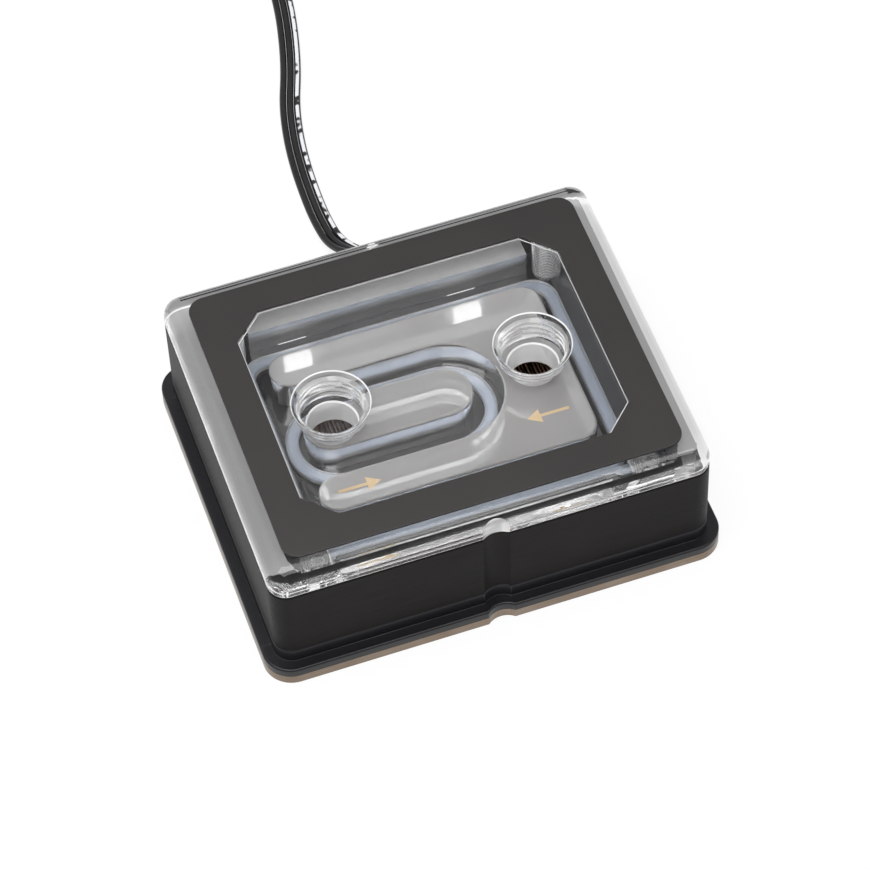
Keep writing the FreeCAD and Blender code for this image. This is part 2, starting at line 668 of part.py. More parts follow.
def make_coil_tie():
    """Band that holds the coil together at its near side."""
    x, y = COIL_CENTRE
    side = y - COIL_RADIUS
    reach = COIL_WIDTH / 2 + 0.15
    height = COIL_HEIGHT - TIE_THICK + 0.1
    place = Vector(x - TIE_WIDTH, side - reach, TIE_THICK)
    inside = Part.makeBox(2 * TIE_WIDTH, 2 * reach, height, place)
    return tie_block(TIE_THICK + 0.15).cut(inside)


def plug_hole_places():
    """Middle of each contact hole across the plug."""
    y = COIL_CENTRE[1] + COIL_RADIUS
    return [y + (i - (PLUG_PINS - 1) / 2) * PLUG_PIN_PITCH for i in range(PLUG_PINS)]


def make_plug():
    """Flat plug housing with square holes and a key rib."""
    y = COIL_CENTRE[1] + COIL_RADIUS
    place = Vector(PLUG_X, y - PLUG_WIDTH / 2, 0)
    body = Part.makeBox(PLUG_LENGTH, PLUG_WIDTH, PLUG_HEIGHT, place)
    body = body.makeFillet(PLUG_ROUND, [e for e in body.Edges if e.BoundBox.XLength > 1])
    long, wide, high = PLUG_RIB
    place = Vector(PLUG_X + (PLUG_LENGTH - long) / 2, y - wide / 2, PLUG_HEIGHT - PLUG_ROUND)
    body = body.fuse(Part.makeBox(long, wide, high + PLUG_ROUND, place))
    x = PLUG_X + PLUG_LENGTH - PLUG_HOLE_DEPTH
    for middle in plug_hole_places():
        place = Vector(x, middle - PLUG_HOLE / 2, (PLUG_HEIGHT - PLUG_HOLE) / 2)
        body = body.cut(Part.makeBox(PLUG_HOLE_DEPTH, PLUG_HOLE, PLUG_HOLE, place))
    return body


def make_plug_contacts():
    """Folded metal sleeves inside the plug's holes."""
    sleeves = []
    inner = PLUG_HOLE - 2 * CONTACT_WALL
    length = PLUG_HOLE_DEPTH - 1
    for place in plug_hole_places():
        x = PLUG_X + PLUG_LENGTH - PLUG_HOLE_DEPTH
        corner = Vector(x, place - PLUG_HOLE / 2, (PLUG_HEIGHT - PLUG_HOLE) / 2)
        sleeve = Part.makeBox(length, PLUG_HOLE, PLUG_HOLE, corner)
        corner = Vector(x + 1, place - inner / 2, (PLUG_HEIGHT - inner) / 2)
        sleeves.append(sleeve.cut(Part.makeBox(length - 1, inner, inner, corner)))
    return Part.Compound(sleeves)


def main():
    """Build every piece and write one STEP file for each."""
    pieces = {
        "cold_plate": make_cold_plate(),
        "mounting_frame": make_mounting_frame(),
        "base_o_ring": make_base_o_ring(),
        "flow_plate": make_flow_plate(),
        "body_ring": make_body_ring(),
        "acrylic_top": make_acrylic_top(),
        "outer_o_ring": make_outer_o_ring(),
        "inlet_o_ring": make_inlet_o_ring(),
        "cover_tape": make_cover(TAPE_INSET, TOP_Z, COVER_BASE_Z),
        "cover_plate": make_cover(0, COVER_BASE_Z, COVER_TOP_Z),
        "clamp_screws": make_screws(),
        "led_board": make_led_board(),
        "leds": make_leds(),
        "board_chips": make_board_chips(),
        "solder_pads": make_solder_pads(),
        "lead_tails": make_lead_tails(),
        "cable_grommet": make_grommet(),
        "lead": make_lead(),
        "lead_coil": make_coil(),
        "coil_tie": make_coil_tie(),
        "lead_plug": make_plug(),
        "plug_contacts": make_plug_contacts(),
    }
    os.makedirs("parts", exist_ok=True)
    for name, shape in pieces.items():
        print("%s: %d solids, %.1f mm3, valid %s" % (name, len(shape.Solids), shape.Volume, shape.isValid()))
        shape.exportStep(os.path.join("parts", name + ".step"))


main()
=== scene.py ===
"""Looks of a liquid cooling cold plate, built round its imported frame.

Each sub-assembly is a class that holds its sizes in millimetres and builds its pieces.
The clear acrylic top is cut as it is on a milling machine: a blank, then ports, channels,
grooves and holes, each with the finish that its cutter leaves.
"""

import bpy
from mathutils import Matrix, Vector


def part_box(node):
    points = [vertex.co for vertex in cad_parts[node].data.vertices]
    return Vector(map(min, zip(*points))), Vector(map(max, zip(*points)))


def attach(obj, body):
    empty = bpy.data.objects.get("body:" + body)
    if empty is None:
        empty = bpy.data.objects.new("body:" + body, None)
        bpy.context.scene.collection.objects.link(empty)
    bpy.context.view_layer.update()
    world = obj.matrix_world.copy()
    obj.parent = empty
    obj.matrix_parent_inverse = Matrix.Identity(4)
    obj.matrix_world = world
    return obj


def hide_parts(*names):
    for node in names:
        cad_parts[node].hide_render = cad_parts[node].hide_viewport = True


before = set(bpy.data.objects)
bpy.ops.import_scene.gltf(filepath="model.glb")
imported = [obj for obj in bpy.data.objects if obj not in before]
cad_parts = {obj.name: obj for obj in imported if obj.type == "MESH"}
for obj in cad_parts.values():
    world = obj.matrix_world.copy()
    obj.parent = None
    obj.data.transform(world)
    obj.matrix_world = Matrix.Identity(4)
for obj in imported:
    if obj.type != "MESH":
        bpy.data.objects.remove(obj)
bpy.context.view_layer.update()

import logging
import math
from dataclasses import dataclass, field
from enum import Enum

import bmesh
import bpy
from mathutils import Matrix, Vector

LOG = logging.getLogger("cold_plate")
MM = 0.001
BODY = "root"
CLOSE = 1e-4            # places nearer to each other than this are one, in millimetres
STEEP = 0.35            # upright part of a normal below which a face counts as a wall
FACES_DOWN = -0.99      # upright part of a normal below which a face is an underside
ROUND_END = 0.98        # share of half a width that its round ends take, so no edge is tiny
SMOOTH_DEGREES = 32.0   # faces that meet at less than this are shaded as one
FLAT_WEIGHT = 90        # how strongly large faces keep their own shading
ARC_FACES = (4, 24)     # fewest and most faces of a quarter round
ARC_FACES_PER_MM = 2    # what its radius adds to the fewest
CORNERS = ((-1, -1), (1, -1), (1, 1), (-1, 1))
Point = tuple[float, float, float]
Colour = tuple[float, float, float, float]


def linear(hex_colour: str) -> Colour:
    """Turns an sRGB hex colour to linear, by the standard's own numbers.

    Args:
        hex_colour: a colour such as "#a0b0c0".

    Returns:
        Red, green, blue and an alpha of 1, linear.
    """
    channels = [int(hex_colour[i:i + 2], 16) / 255 for i in (1, 3, 5)]
    bent = [c / 12.92 if c <= 0.04045 else ((c + 0.055) / 1.055) ** 2.4 for c in channels]
    return (bent[0], bent[1], bent[2], 1.0)


def per_mm(size_mm: float) -> float:
    """Scale of a texture whose features are this many millimetres across."""
    return 1 / (size_mm * MM)


def add_node(
    tree: bpy.types.NodeTree, kind: str, inputs: dict | None = None, **settings: object
) -> bpy.types.Node:
    """Adds one node with its settings, values and links.

    Args:
        tree: the node tree.
        kind: the node's type name.
        inputs: for a socket's name or index, a value or the output socket that feeds it.
        **settings: the node's own properties.

    Returns:
        The new node.
    """
    node = tree.nodes.new(kind)
    for name, value in settings.items():
        setattr(node, name, value)
    for socket, value in (inputs or {}).items():
        if isinstance(value, bpy.types.NodeSocket):
            tree.links.new(value, node.inputs[socket])
        else:
            node.inputs[socket].default_value = value
    return node


def new_material(name: str) -> tuple[bpy.types.Material, bpy.types.NodeTree]:
    """An empty node material and its tree."""
    material = bpy.data.materials.new(name)
    material.use_nodes = True
    material.node_tree.nodes.clear()
    return material, material.node_tree


class Grain(Enum):
    """How far a surface's pattern is drawn out along X, Y and Z."""

    CAST = (1.0, 1.0, 1.0)
    BRUSHED_X = (40.0, 1.0, 1.0)
    BRUSHED_Y = (1.0, 40.0, 1.0)
    TURNED_Z = (30.0, 30.0, 1.0)
    UPRIGHT = (1.0, 1.0, 30.0)
    FACED = (1.0, 3.0, 1.0)


def marks(
    tree: bpy.types.NodeTree, size_mm: float, layers: float, grain: Grain = Grain.CAST
) -> bpy.types.NodeSocket:
    """Uneven marks of a real size, fixed to the piece.

    Args:
        tree: the node tree.
        size_mm: width of one mark.
        layers: how many finer layers lie on it.
        grain: how the marks are drawn out.

    Returns:
        The socket that gives their height, from 0 to 1.
    """
    place = add_node(tree, "ShaderNodeTexCoord").outputs["Object"]
    scale = tuple(1 / stretch for stretch in grain.value)
    drawn = add_node(tree, "ShaderNodeMapping", {"Vector": place, "Scale": scale})
    return add_node(tree, "ShaderNodeTexNoise", {
        "Vector": drawn.outputs["Vector"], "Scale": per_mm(size_mm), "Detail": layers,
    }).outputs["Fac"]


@dataclass(frozen=True)
class Surface:
    """Opaque finish with a fine pattern in its colour, its gloss and its relief.

    Attributes:
        name: the material's name.
        slot: the record's material slot for it.
        colour: its main colour.
        patch: the darker colour of its patches.
        roughness: its middle roughness.
        spread: how far the roughness goes either way.
        metallic: 1 for bare metal.
        grain: how the fine pattern is drawn out.
        grain_mm: width of the fine pattern.
        patch_mm: width of the patches.
        relief_mm: height of the fine pattern.
        specular: how strongly it reflects where it isn't metal.
        glow: how strongly it shines by itself.
        layers: finer layers on the fine pattern and on the patches.
        tones: heights of the pattern that have the patch colour and the main one.
        swing: heights of the pattern that have the least and the most roughness.
        sharpest: the least roughness.
    """

    name: str
    slot: str
    colour: str
    patch: str
    roughness: float
    spread: float = 0.08
    metallic: float = 0.0
    grain: Grain = Grain.CAST
    grain_mm: float = 0.35
    patch_mm: float = 9.0
    relief_mm: float = 0.01
    specular: float = 0.5
    glow: float = 0.0
    layers: tuple[float, float] = (4.0, 3.0)
    tones: tuple[float, float] = (0.12, 0.42)
    swing: tuple[float, float] = (0.3, 0.7)
    sharpest: float = 0.02

    def build(self) -> bpy.types.Material:
        """Makes the material.

        Returns:
            The node material.
        """
        material, tree = new_material(self.name)
        fine = marks(tree, self.grain_mm, self.layers[0], self.grain)
        broad = marks(tree, self.patch_mm, self.layers[1])
        both = add_node(tree, "ShaderNodeMath", {0: fine, 1: broad}, operation="MULTIPLY")
        tint = add_node(tree, "ShaderNodeValToRGB", {"Fac": both.outputs[0]})
        for stop, height, tone in zip(
            tint.color_ramp.elements, self.tones, (self.patch, self.colour)
        ):
            stop.position, stop.color = height, linear(tone)
        gloss = add_node(tree, "ShaderNodeMapRange", {
            "Value": fine,
            "From Min": self.swing[0],
            "From Max": self.swing[1],
            "To Min": max(self.roughness - self.spread, self.sharpest),
            "To Max": self.roughness + self.spread,
        })
        bump = add_node(tree, "ShaderNodeBump", {
            "Height": fine, "Strength": 1.0, "Distance": self.relief_mm * MM,
        })
        shader = add_node(tree, "ShaderNodeBsdfPrincipled", {
            "Base Color": tint.outputs["Color"],
            "Roughness": gloss.outputs["Result"],
            "Metallic": self.metallic,
            "Specular IOR Level": self.specular,
            "Emission Color": linear(self.colour),
            "Emission Strength": self.glow,
            "Normal": bump.outputs["Normal"],
        })
        add_node(tree, "ShaderNodeOutputMaterial", {"Surface": shader.outputs["BSDF"]})
        return material


@dataclass(frozen=True)
class Acrylic:
    """Clear acrylic: polished, or with the haze and the marks that a milling cutter leaves.

    Attributes:
        name: the material's name.
        slot: the record's material slot for it; not used.
        ior: its refraction, that of acrylic.
        colour: its tint.
        clear: share of it that is clear. The rest scatters light like frosting.
        roughness: its roughness.
        grain: how the cutter marks are drawn out.
        mark_mm: width of a cutter mark.
        mark_depth_mm: depth of a cutter mark.
        layers: finer layers on the marks.
    """

    name: str
    slot: str = "clear_acrylic"
    ior: float = 1.49
    colour: str = "#ffffff"
    clear: float = 1.0
    roughness: float = 0.0
    grain: Grain = Grain.CAST
    mark_mm: float = 8.0
    mark_depth_mm: float = 0.002
    layers: float = 3.0

    def build(self) -> bpy.types.Material:
        """Makes the material.

        Returns:
            The node material.
        """
        material, tree = new_material(self.name)
        bump = add_node(tree, "ShaderNodeBump", {
            "Height": marks(tree, self.mark_mm, self.layers, self.grain),
            "Strength": 1.0,
            "Distance": self.mark_depth_mm * MM,
        })
        shader = add_node(tree, "ShaderNodeBsdfPrincipled", {
            "Base Color": linear(self.colour),
            "Roughness": self.roughness,
            "IOR": self.ior,
            "Transmission Weight": self.clear,
            "Normal": bump.outputs["Normal"],
        })
        add_node(tree, "ShaderNodeOutputMaterial", {"Surface": shader.outputs["BSDF"]})
        return material


@dataclass(frozen=True)
class PrintedStripe:
    """White ink on black cable insulation, worn into dashes.

    Attributes:
        name: the material's name.
        ink: colour of the ink.
        under: colour of the insulation where the ink is gone.
        dash_mm: length of a dash.
        layers: finer layers on the dashes' shape.
        edge: heights of the pattern between which ink begins.
        roughness: its roughness, that of the insulation.
    """

    name: str = "printed_white_ink"
    ink: str = "#d9dbde"
    under: str = "#1b1b1c"
    dash_mm: float = 2.6
    layers: float = 1.0
    edge: tuple[float, float] = (0.4, 0.46)
    roughness: float = 0.45

    def build(self) -> bpy.types.Material:
        """Makes the material.

        Returns:
            The node material.
        """
        material, tree = new_material(self.name)
        dashes = marks(tree, self.dash_mm, self.layers)
        ramp = add_node(tree, "ShaderNodeValToRGB", {"Fac": dashes})
        for stop, height, tone in zip(ramp.color_ramp.elements, self.edge, (self.under, self.ink)):
            stop.position, stop.color = height, linear(tone)
        shader = add_node(tree, "ShaderNodeBsdfPrincipled", {
            "Base Color": ramp.outputs["Color"], "Roughness": self.roughness,
        })
        add_node(tree, "ShaderNodeOutputMaterial", {"Surface": shader.outputs["BSDF"]})
        return material


# Real cutter marks and grain are 0.02 to 0.2 mm wide. They are drawn as coarse as the sizes
# below say, because finer ones wouldn't show.

# Cast acrylic, polished: as clear as glass, with sharp reflections.
POLISHED = Acrylic("polished_cast_acrylic")
# Acrylic under the tip of an end mill: a grey haze that hides what lies behind.
MILLED = Acrylic(
    "end_milled_acrylic", clear=0.64, roughness=0.045, mark_mm=0.9, mark_depth_mm=0.004,
)
# Acrylic along the side of a mill: nearly clear, with upright ripples that streak the light.
SIDE_MILLED = Acrylic(
    "side_milled_acrylic", clear=0.91, roughness=0.035, grain=Grain.UPRIGHT, mark_mm=1.1,
    mark_depth_mm=0.02,
)
# Acrylic faced with a wide cutter: haze with deep marks that break up the light.
FACED = Acrylic(
    "faced_acrylic", clear=0.62, roughness=0.03, grain=Grain.FACED, mark_mm=1.4,
    mark_depth_mm=0.12,
)
# Acrylic that is sanded or cut rough: white, so that it draws a bright line or ring.
FROSTED = Acrylic("frosted_acrylic", clear=0.2, roughness=0.15, mark_mm=0.7)
# Acrylic wall of the light strip's room, cut with a long mill: clear but blurred.
ROOM_WALL = Acrylic("end_milled_wall", clear=0.97, roughness=0.22, mark_mm=1.2)
# Acrylic in the seal grooves, cut with a small mill: a thin haze over the seals.
GROOVE_CUT = Acrylic("groove_milled_acrylic", clear=0.85, roughness=0.04, mark_mm=0.7)
# Acrylic threads, cut with a thread mill: satin flanks that show as soft rings.
THREADED = Acrylic(
    "thread_milled_acrylic", clear=0.8, roughness=0.09, mark_mm=1.4, mark_depth_mm=0.001,
)
# Pure copper plate, milled along its edge and dulled in air: grey brown metal, fine lines.
COPPER = Surface(
    "machined_copper", "copper", "#95877a", "#7c6c5c", 0.32, metallic=1.0,
    grain=Grain.BRUSHED_X, grain_mm=0.25, relief_mm=0.006,
)
# Pure copper cut up into fins by a skiving blade: painted shade, a darker red brown than the plate
# for the shade deep between the fins.
FIN_COPPER_PAINTED_SHADE = Surface(
    "skived_fin_copper_painted_shade", "copper", "#6b4a3a", "#4d3428", 0.4, metallic=1.0, grain_mm=0.3,
)
# Black acetal, milled with a fine finish: even satin black with a cool sheen.
FRAME_PLASTIC = Surface(
    "milled_black_acetal", "black_frame", "#17171b", "#131317", 0.32, grain_mm=0.6,
    relief_mm=0.0003, spread=0.02, specular=0.38,
)
# Black engineering plastic, milled along X: matt warm black with faint lines.
BODY_PLASTIC = Surface(
    "milled_black_polymer", "black_body", "#1b1918", "#151312", 0.48, grain=Grain.BRUSHED_X,
    grain_mm=0.22, relief_mm=0.008, specular=0.1,
)
# Aluminium sheet, anodised black: the dyed oxide hides the metal, so it is an even satin.
COVER_METAL = Surface(
    "black_anodised_aluminium", "black_cover", "#2b2826", "#23201f", 0.38, grain_mm=0.12,
    patch_mm=18.0, relief_mm=0.004, spread=0.05,
)
# Black acetal beside the outer seal, under the clear block: painted light, a mid grey that lifts
# the shade of the cover above it.
SEAL_LAND_PAINTED_LIGHT = Surface(
    "black_acetal_painted_light", "black_frame", "#5a5b5e", "#505155", 0.35, grain_mm=0.5,
    relief_mm=0.001, spread=0.04,
)
# Black plastic sheet, punched: dark grey satin under the clear channels.
FLOW_PLATE = Surface("black_jet_sheet", "flow_plate", "#2c2c2e", "#232325", 0.4, grain_mm=0.4)
# Silicone, moulded: pale blue grey with a soft sheen.
SEAL = Surface("soft_silicone", "seal", "#b3bdcd", "#a3aec0", 0.5, grain_mm=0.8, specular=0.3)
# Double-sided adhesive tape: flat black.
TAPE = Surface("black_adhesive_tape", "tape", "#0e0e0f", "#0a0a0b", 0.6)
# Steel, turned and zinc plated: bright grey metal with rings.
SCREW_STEEL = Surface(
    "zinc_plated_steel", "screw_steel", "#b9bbbe", "#9fa1a6", 0.3, metallic=1.0,
    grain=Grain.TURNED_Z, grain_mm=0.2,
)
# Glass fibre board under a printed solder mask: smooth off-white.
BOARD = Surface("white_solder_mask", "board", "#e4e4e6", "#d8d8dc", 0.35, grain_mm=0.6)
# Light diode in a moulded white housing, switched off: white, with a painted glow that brightens
# the housing.
LED_BODY_PAINTED_GLOW = Surface(
    "white_led_housing_painted_glow", "led_white", "#ffffff", "#f7f4ec", 0.3, grain_mm=0.5, glow=1.0,
)
# Fired ceramic: dull grey brown.
CHIP = Surface("ceramic_chip", "chip", "#8d8378", "#6f665d", 0.4, grain_mm=0.4)
# Copper pad, left bare: pink metal.
SOLDER = Surface(
    "bare_copper_pad", "solder_copper", "#d39b84", "#c08870", 0.35, metallic=1.0, grain_mm=0.3,
)
# Rubber, moulded: matt black.
RUBBER = Surface("moulded_black_rubber", "grommet", "#161616", "#101010", 0.6, grain_mm=0.5)
# Soft PVC, extruded: black with a long gloss along the lead.
CABLE_PVC = Surface(
    "extruded_black_pvc", "lead_black", "#191919", "#111112", 0.33, grain=Grain.BRUSHED_Y,
    grain_mm=0.5,
)
# Nylon, injection moulded: satin black, the plug's a little smoother than the tie's.
TIE_NYLON = Surface("moulded_black_nylon", "tie_black", "#181818", "#101010", 0.45, grain_mm=0.4)
PLUG_NYLON = Surface("black_plug_nylon", "plug_black", "#1a1a1b", "#121213", 0.4, grain_mm=0.35)
# Brass, tin plated: pale silver metal.
TIN = Surface("tinned_contact", "contact_tin", "#c9cacc", "#aeb0b4", 0.3, metallic=1.0)
# Printing ink with metal flake: pale gold, part metal and part pigment.
GOLD_INK = Surface(
    "pale_gold_ink", "clear_acrylic", "#e2cba6", "#d3b78a", 0.4, metallic=0.35, grain_mm=0.3,
)

_built: dict[str, bpy.types.Material] = {}


def finish_of(finish: Surface | Acrylic | PrintedStripe) -> bpy.types.Material:
    """The material of a finish, made once."""
    if finish.name not in _built:
        _built[finish.name] = finish.build()
    return _built[finish.name]


def new_object(name: str, data: bpy.types.ID) -> bpy.types.Object:
    """A linked object at the origin that shows a mesh, a lamp or a camera."""
    thing = bpy.data.objects.new(name, data)
    bpy.context.scene.collection.objects.link(thing)
    return thing


def to_object(
    bm: bmesh.types.BMesh, name: str, *finishes: Surface | Acrylic, unit: float = MM
) -> bpy.types.Object:
    """Turns a bmesh in millimetres into an object.

    Args:
        bm: the bmesh, which is freed.
        name: the object's name.
        *finishes: its finishes, in the order of its material slots.
        unit: its scale. Blanks and cutters stay in millimetres, where cuts are exact.

    Returns:
        The object, at the origin.
    """
    bmesh.ops.scale(bm, vec=(unit, unit, unit), verts=bm.verts)
    mesh = bpy.data.meshes.new(name)
    bm.to_mesh(mesh)
    bm.free()
    for finish in finishes:
        mesh.materials.append(finish_of(finish))
    return new_object(name, mesh)


def cutter(
    bm: bmesh.types.BMesh, name: str, level: Acrylic, upright: Acrylic | None = None
) -> bpy.types.Object:
    """A solid in millimetres that joins or cuts another.

    Args:
        bm: the bmesh, which is freed.
        name: the object's name.
        level: finish of the level faces.
        upright: finish of the steep ones, or None for the same.

    Returns:
        The object, at the origin.
    """
    for face in bm.faces:
        face.normal_update()
        face.material_index = int(upright is not None and abs(face.normal.z) < STEEP)
    return to_object(bm, name, level, *([upright] if upright else []), unit=1.0)


def arc_steps(radius: float) -> int:
    """How many faces a quarter round of this radius needs to look smooth."""
    fewest, most = ARC_FACES
    return max(fewest, min(most, round(fewest + ARC_FACES_PER_MM * radius)))


def soften(
    bm: bmesh.types.BMesh, edges: list[bmesh.types.BMEdge], radius: float, steps: int
) -> None:
    """Rounds edges of a bmesh to a radius, with a number of faces."""
    bmesh.ops.bevel(
        bm, geom=edges, offset=radius, offset_type="OFFSET", segments=steps, profile=0.5,
        affect="EDGES", clamp_overlap=False, material=-1,
    )


def prism(
    corners: list[Point], low: float, high: float, top_round: float = 0.0, steps: int = 3
) -> bmesh.types.BMesh:
    """Upright solid on an outline whose corners are rounded one by one.

    Args:
        corners: x, y and radius of each corner, in order.
        low: height of the bottom.
        high: height of the top.
        top_round: radius between the top and the sides.
        steps: faces across that radius.

    Returns:
        The bmesh, in millimetres.
    """
    bm = bmesh.new()
    face = bm.faces.new([bm.verts.new((x, y, low)) for x, y, _ in corners])
    raised = bmesh.ops.extrude_face_region(bm, geom=[face])["geom"]
    up = [v for v in raised if isinstance(v, bmesh.types.BMVert)]
    bmesh.ops.translate(bm, vec=(0, 0, high - low), verts=up)
    bmesh.ops.recalc_face_normals(bm, faces=bm.faces)
    for x, y, radius in corners:
        if radius > 0:
            here = [e for e in bm.edges
                    if all(abs(v.co.x - x) + abs(v.co.y - y) < CLOSE for v in e.verts)]
            soften(bm, here, radius, arc_steps(radius))
    if top_round:
        round_rim(bm, high, top_round, steps)
    return bm


def round_rim(bm: bmesh.types.BMesh, height: float, radius: float, steps: int) -> None:
    """Rounds the edges between the flat face at a height and the sides.

    Args:
        bm: the bmesh of an upright solid.
        height: height of the flat face.
        radius: radius of the round.
        steps: faces across it.
    """
    rim = [e for e in bm.edges
           if all(abs(v.co.z - height) < CLOSE for v in e.verts)
           and any(abs(f.normal.z) < STEEP for f in e.link_faces)]
    soften(bm, rim, radius, steps)


def rectangle(
    half_x: float, half_y: float, radius: float, x: float = 0, y: float = 0
) -> list[Point]:
    """Corners of a rounded rectangle about a place."""
    return [(x + i * half_x, y + j * half_y, radius) for i, j in CORNERS]


def slot_outline(left: float, right: float, half: float) -> list[Point]:
    """Corners of a long hole with round ends, about y = 0.

    Args:
        left: place of the left end's centre.
        right: place of the right end's centre.
        half: half its width.

    Returns:
        x, y and radius of each corner.
    """
    radius = half * ROUND_END
    return [(left - half, -half, radius), (right + half, -half, radius),
            (right + half, half, radius), (left - half, half, radius)]


def lathe(
    profile: list[tuple[float, float]], x: float, y: float, steps: int
) -> bmesh.types.BMesh:
    """Solid of revolution about an upright axis.

    Args:
        profile: radius and height of each point, from the axis and back to it.
        x: place of the axis.
        y: place of the axis.
        steps: faces round.

    Returns:
        The bmesh, in millimetres.
    """
    bm = bmesh.new()
    points = [bm.verts.new((radius, 0, z)) for radius, z in profile]
    lines = [bm.edges.new(pair) for pair in zip(points, points[1:])]
    bmesh.ops.spin(
        bm, geom=points + lines, cent=(0, 0, 0), axis=(0, 0, 1), angle=math.tau, steps=steps,
        use_merge=True, use_duplicate=False,
    )
    bmesh.ops.remove_doubles(bm, verts=bm.verts, dist=CLOSE)
    bmesh.ops.recalc_face_normals(bm, faces=bm.faces)
    bmesh.ops.translate(bm, vec=(x, y, 0), verts=bm.verts)
    return bm


def bake(thing: bpy.types.Object) -> None:
    """Applies an object's modifiers to its mesh."""
    graph = bpy.context.evaluated_depsgraph_get()
    mesh = bpy.data.meshes.new_from_object(thing.evaluated_get(graph))
    thing.modifiers.clear()
    thing.data = mesh


class Join(Enum):
    """What solids do to the one that they meet."""

    ADD = "UNION"
    CUT = "DIFFERENCE"


def combine(
    thing: bpy.types.Object, others: list[bpy.types.Object], how: Join
) -> bpy.types.Object:
    """Joins or cuts an object with others, which are used up.

    Args:
        thing: the object that stays.
        others: the objects that join it or cut it. Their faces keep their own finish.
        how: whether they join or cut.

    Returns:
        The same object with its new mesh.
    """
    for other in others:
        step = thing.modifiers.new(other.name, "BOOLEAN")
        step.object = other
        step.operation = how.value
        step.solver = "MANIFOLD"
        step.material_mode = "TRANSFER"
    bake(thing)
    for other in others:
        bpy.data.objects.remove(other)
    return thing


def shade(thing: bpy.types.Object) -> None:
    """Shades an object smooth, with its flat faces kept flat."""
    thing.data.shade_smooth()
    thing.data.set_sharp_from_angle(angle=math.radians(SMOOTH_DEGREES))
    step = thing.modifiers.new("flat_faces", "WEIGHTED_NORMAL")
    step.weight = FLAT_WEIGHT
    step.keep_sharp = True
    bake(thing)


def hand_over(thing: bpy.types.Object, slot: str, *nodes: str) -> bpy.types.Object:
    """Puts a finished piece on the body and reports it.

    Args:
        thing: the piece.
        slot: the record's material slot of its finish; not used.
        *nodes: the CAD nodes that it stands for.

    Returns:
        The same piece.
    """
    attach(thing, BODY)
    if nodes:
        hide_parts(*nodes)
    LOG.info("%s: %d faces", thing.name, len(thing.data.polygons))
    return thing


@dataclass(frozen=True)
class Patch:
    """Part of a piece with a finish of its own.

    Attributes:
        finish: that finish.
        low: lowest corner of the box that holds its faces.
        high: highest corner of that box.
        cut: whether faces that cross the box's sides are split there.
    """

    finish: Surface
    low: Point
    high: Point
    cut: bool = False

    def mark(self, bm: bmesh.types.BMesh, slot: int) -> None:
        """Gives the faces in the box a material slot.

        Args:
            bm: the piece's bmesh, in millimetres.
            slot: the slot's number.
        """
        if self.cut:
            for axis, across in ((0, (1, 0, 0)), (1, (0, 1, 0))):
                for corner in (self.low, self.high):
                    place = [0.0, 0.0, 0.0]
                    place[axis] = corner[axis]
                    bmesh.ops.bisect_plane(
                        bm, geom=[*bm.verts, *bm.edges, *bm.faces], plane_co=place,
                        plane_no=across,
                    )
        for face in bm.faces:
            middle = face.calc_center_median()
            if all(a < m < b for a, m, b in zip(self.low, middle, self.high)):
                face.material_index = slot


@dataclass
class Refined:
    """A piece of the frame with its true faces, softly broken edges and its finish.

    Attributes:
        node: the CAD node that it stands for.
        finish: its finish.
        edge: width of its broken edges, or 0 for sharp ones.
        patches: its parts with a finish of their own.
        steps: faces across a broken edge.
        edge_degrees: faces that meet at more than this have their edge broken.
        weld: points nearer to each other than this are one.
        level_degrees: triangles that meet at less than this are one face.
    """

    node: str
    finish: Surface
    edge: float = 0.12
    patches: tuple[Patch, ...] = ()
    steps: int = 2
    edge_degrees: float = 30.0
    weld: float = 0.002
    level_degrees: float = 0.8

    def build(self) -> bpy.types.Object:
        """Makes the piece.

        Returns:
            The object that replaces the node.
        """
        bm = bmesh.new()
        bm.from_mesh(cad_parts[self.node].data)
        bmesh.ops.remove_doubles(bm, verts=bm.verts, dist=self.weld * MM)
        bmesh.ops.dissolve_limit(
            bm, angle_limit=math.radians(self.level_degrees), use_dissolve_boundaries=False,
            verts=bm.verts, edges=bm.edges, delimit=set(),
        )
        bmesh.ops.scale(bm, vec=(1 / MM, 1 / MM, 1 / MM), verts=bm.verts)
        for slot, patch in enumerate(self.patches, 1):
            patch.mark(bm, slot)
        finishes = [self.finish] + [patch.finish for patch in self.patches]
        piece = to_object(bm, self.node + "_shown", *finishes)
        if self.edge:
            step = piece.modifiers.new("broken_edges", "BEVEL")
            step.width = self.edge * MM
            step.segments = self.steps
            step.limit_method = "ANGLE"
            step.angle_limit = math.radians(self.edge_degrees)
            step.use_clamp_overlap = False
            bake(piece)
        shade(piece)
        return hand_over(piece, self.finish.slot, self.node)


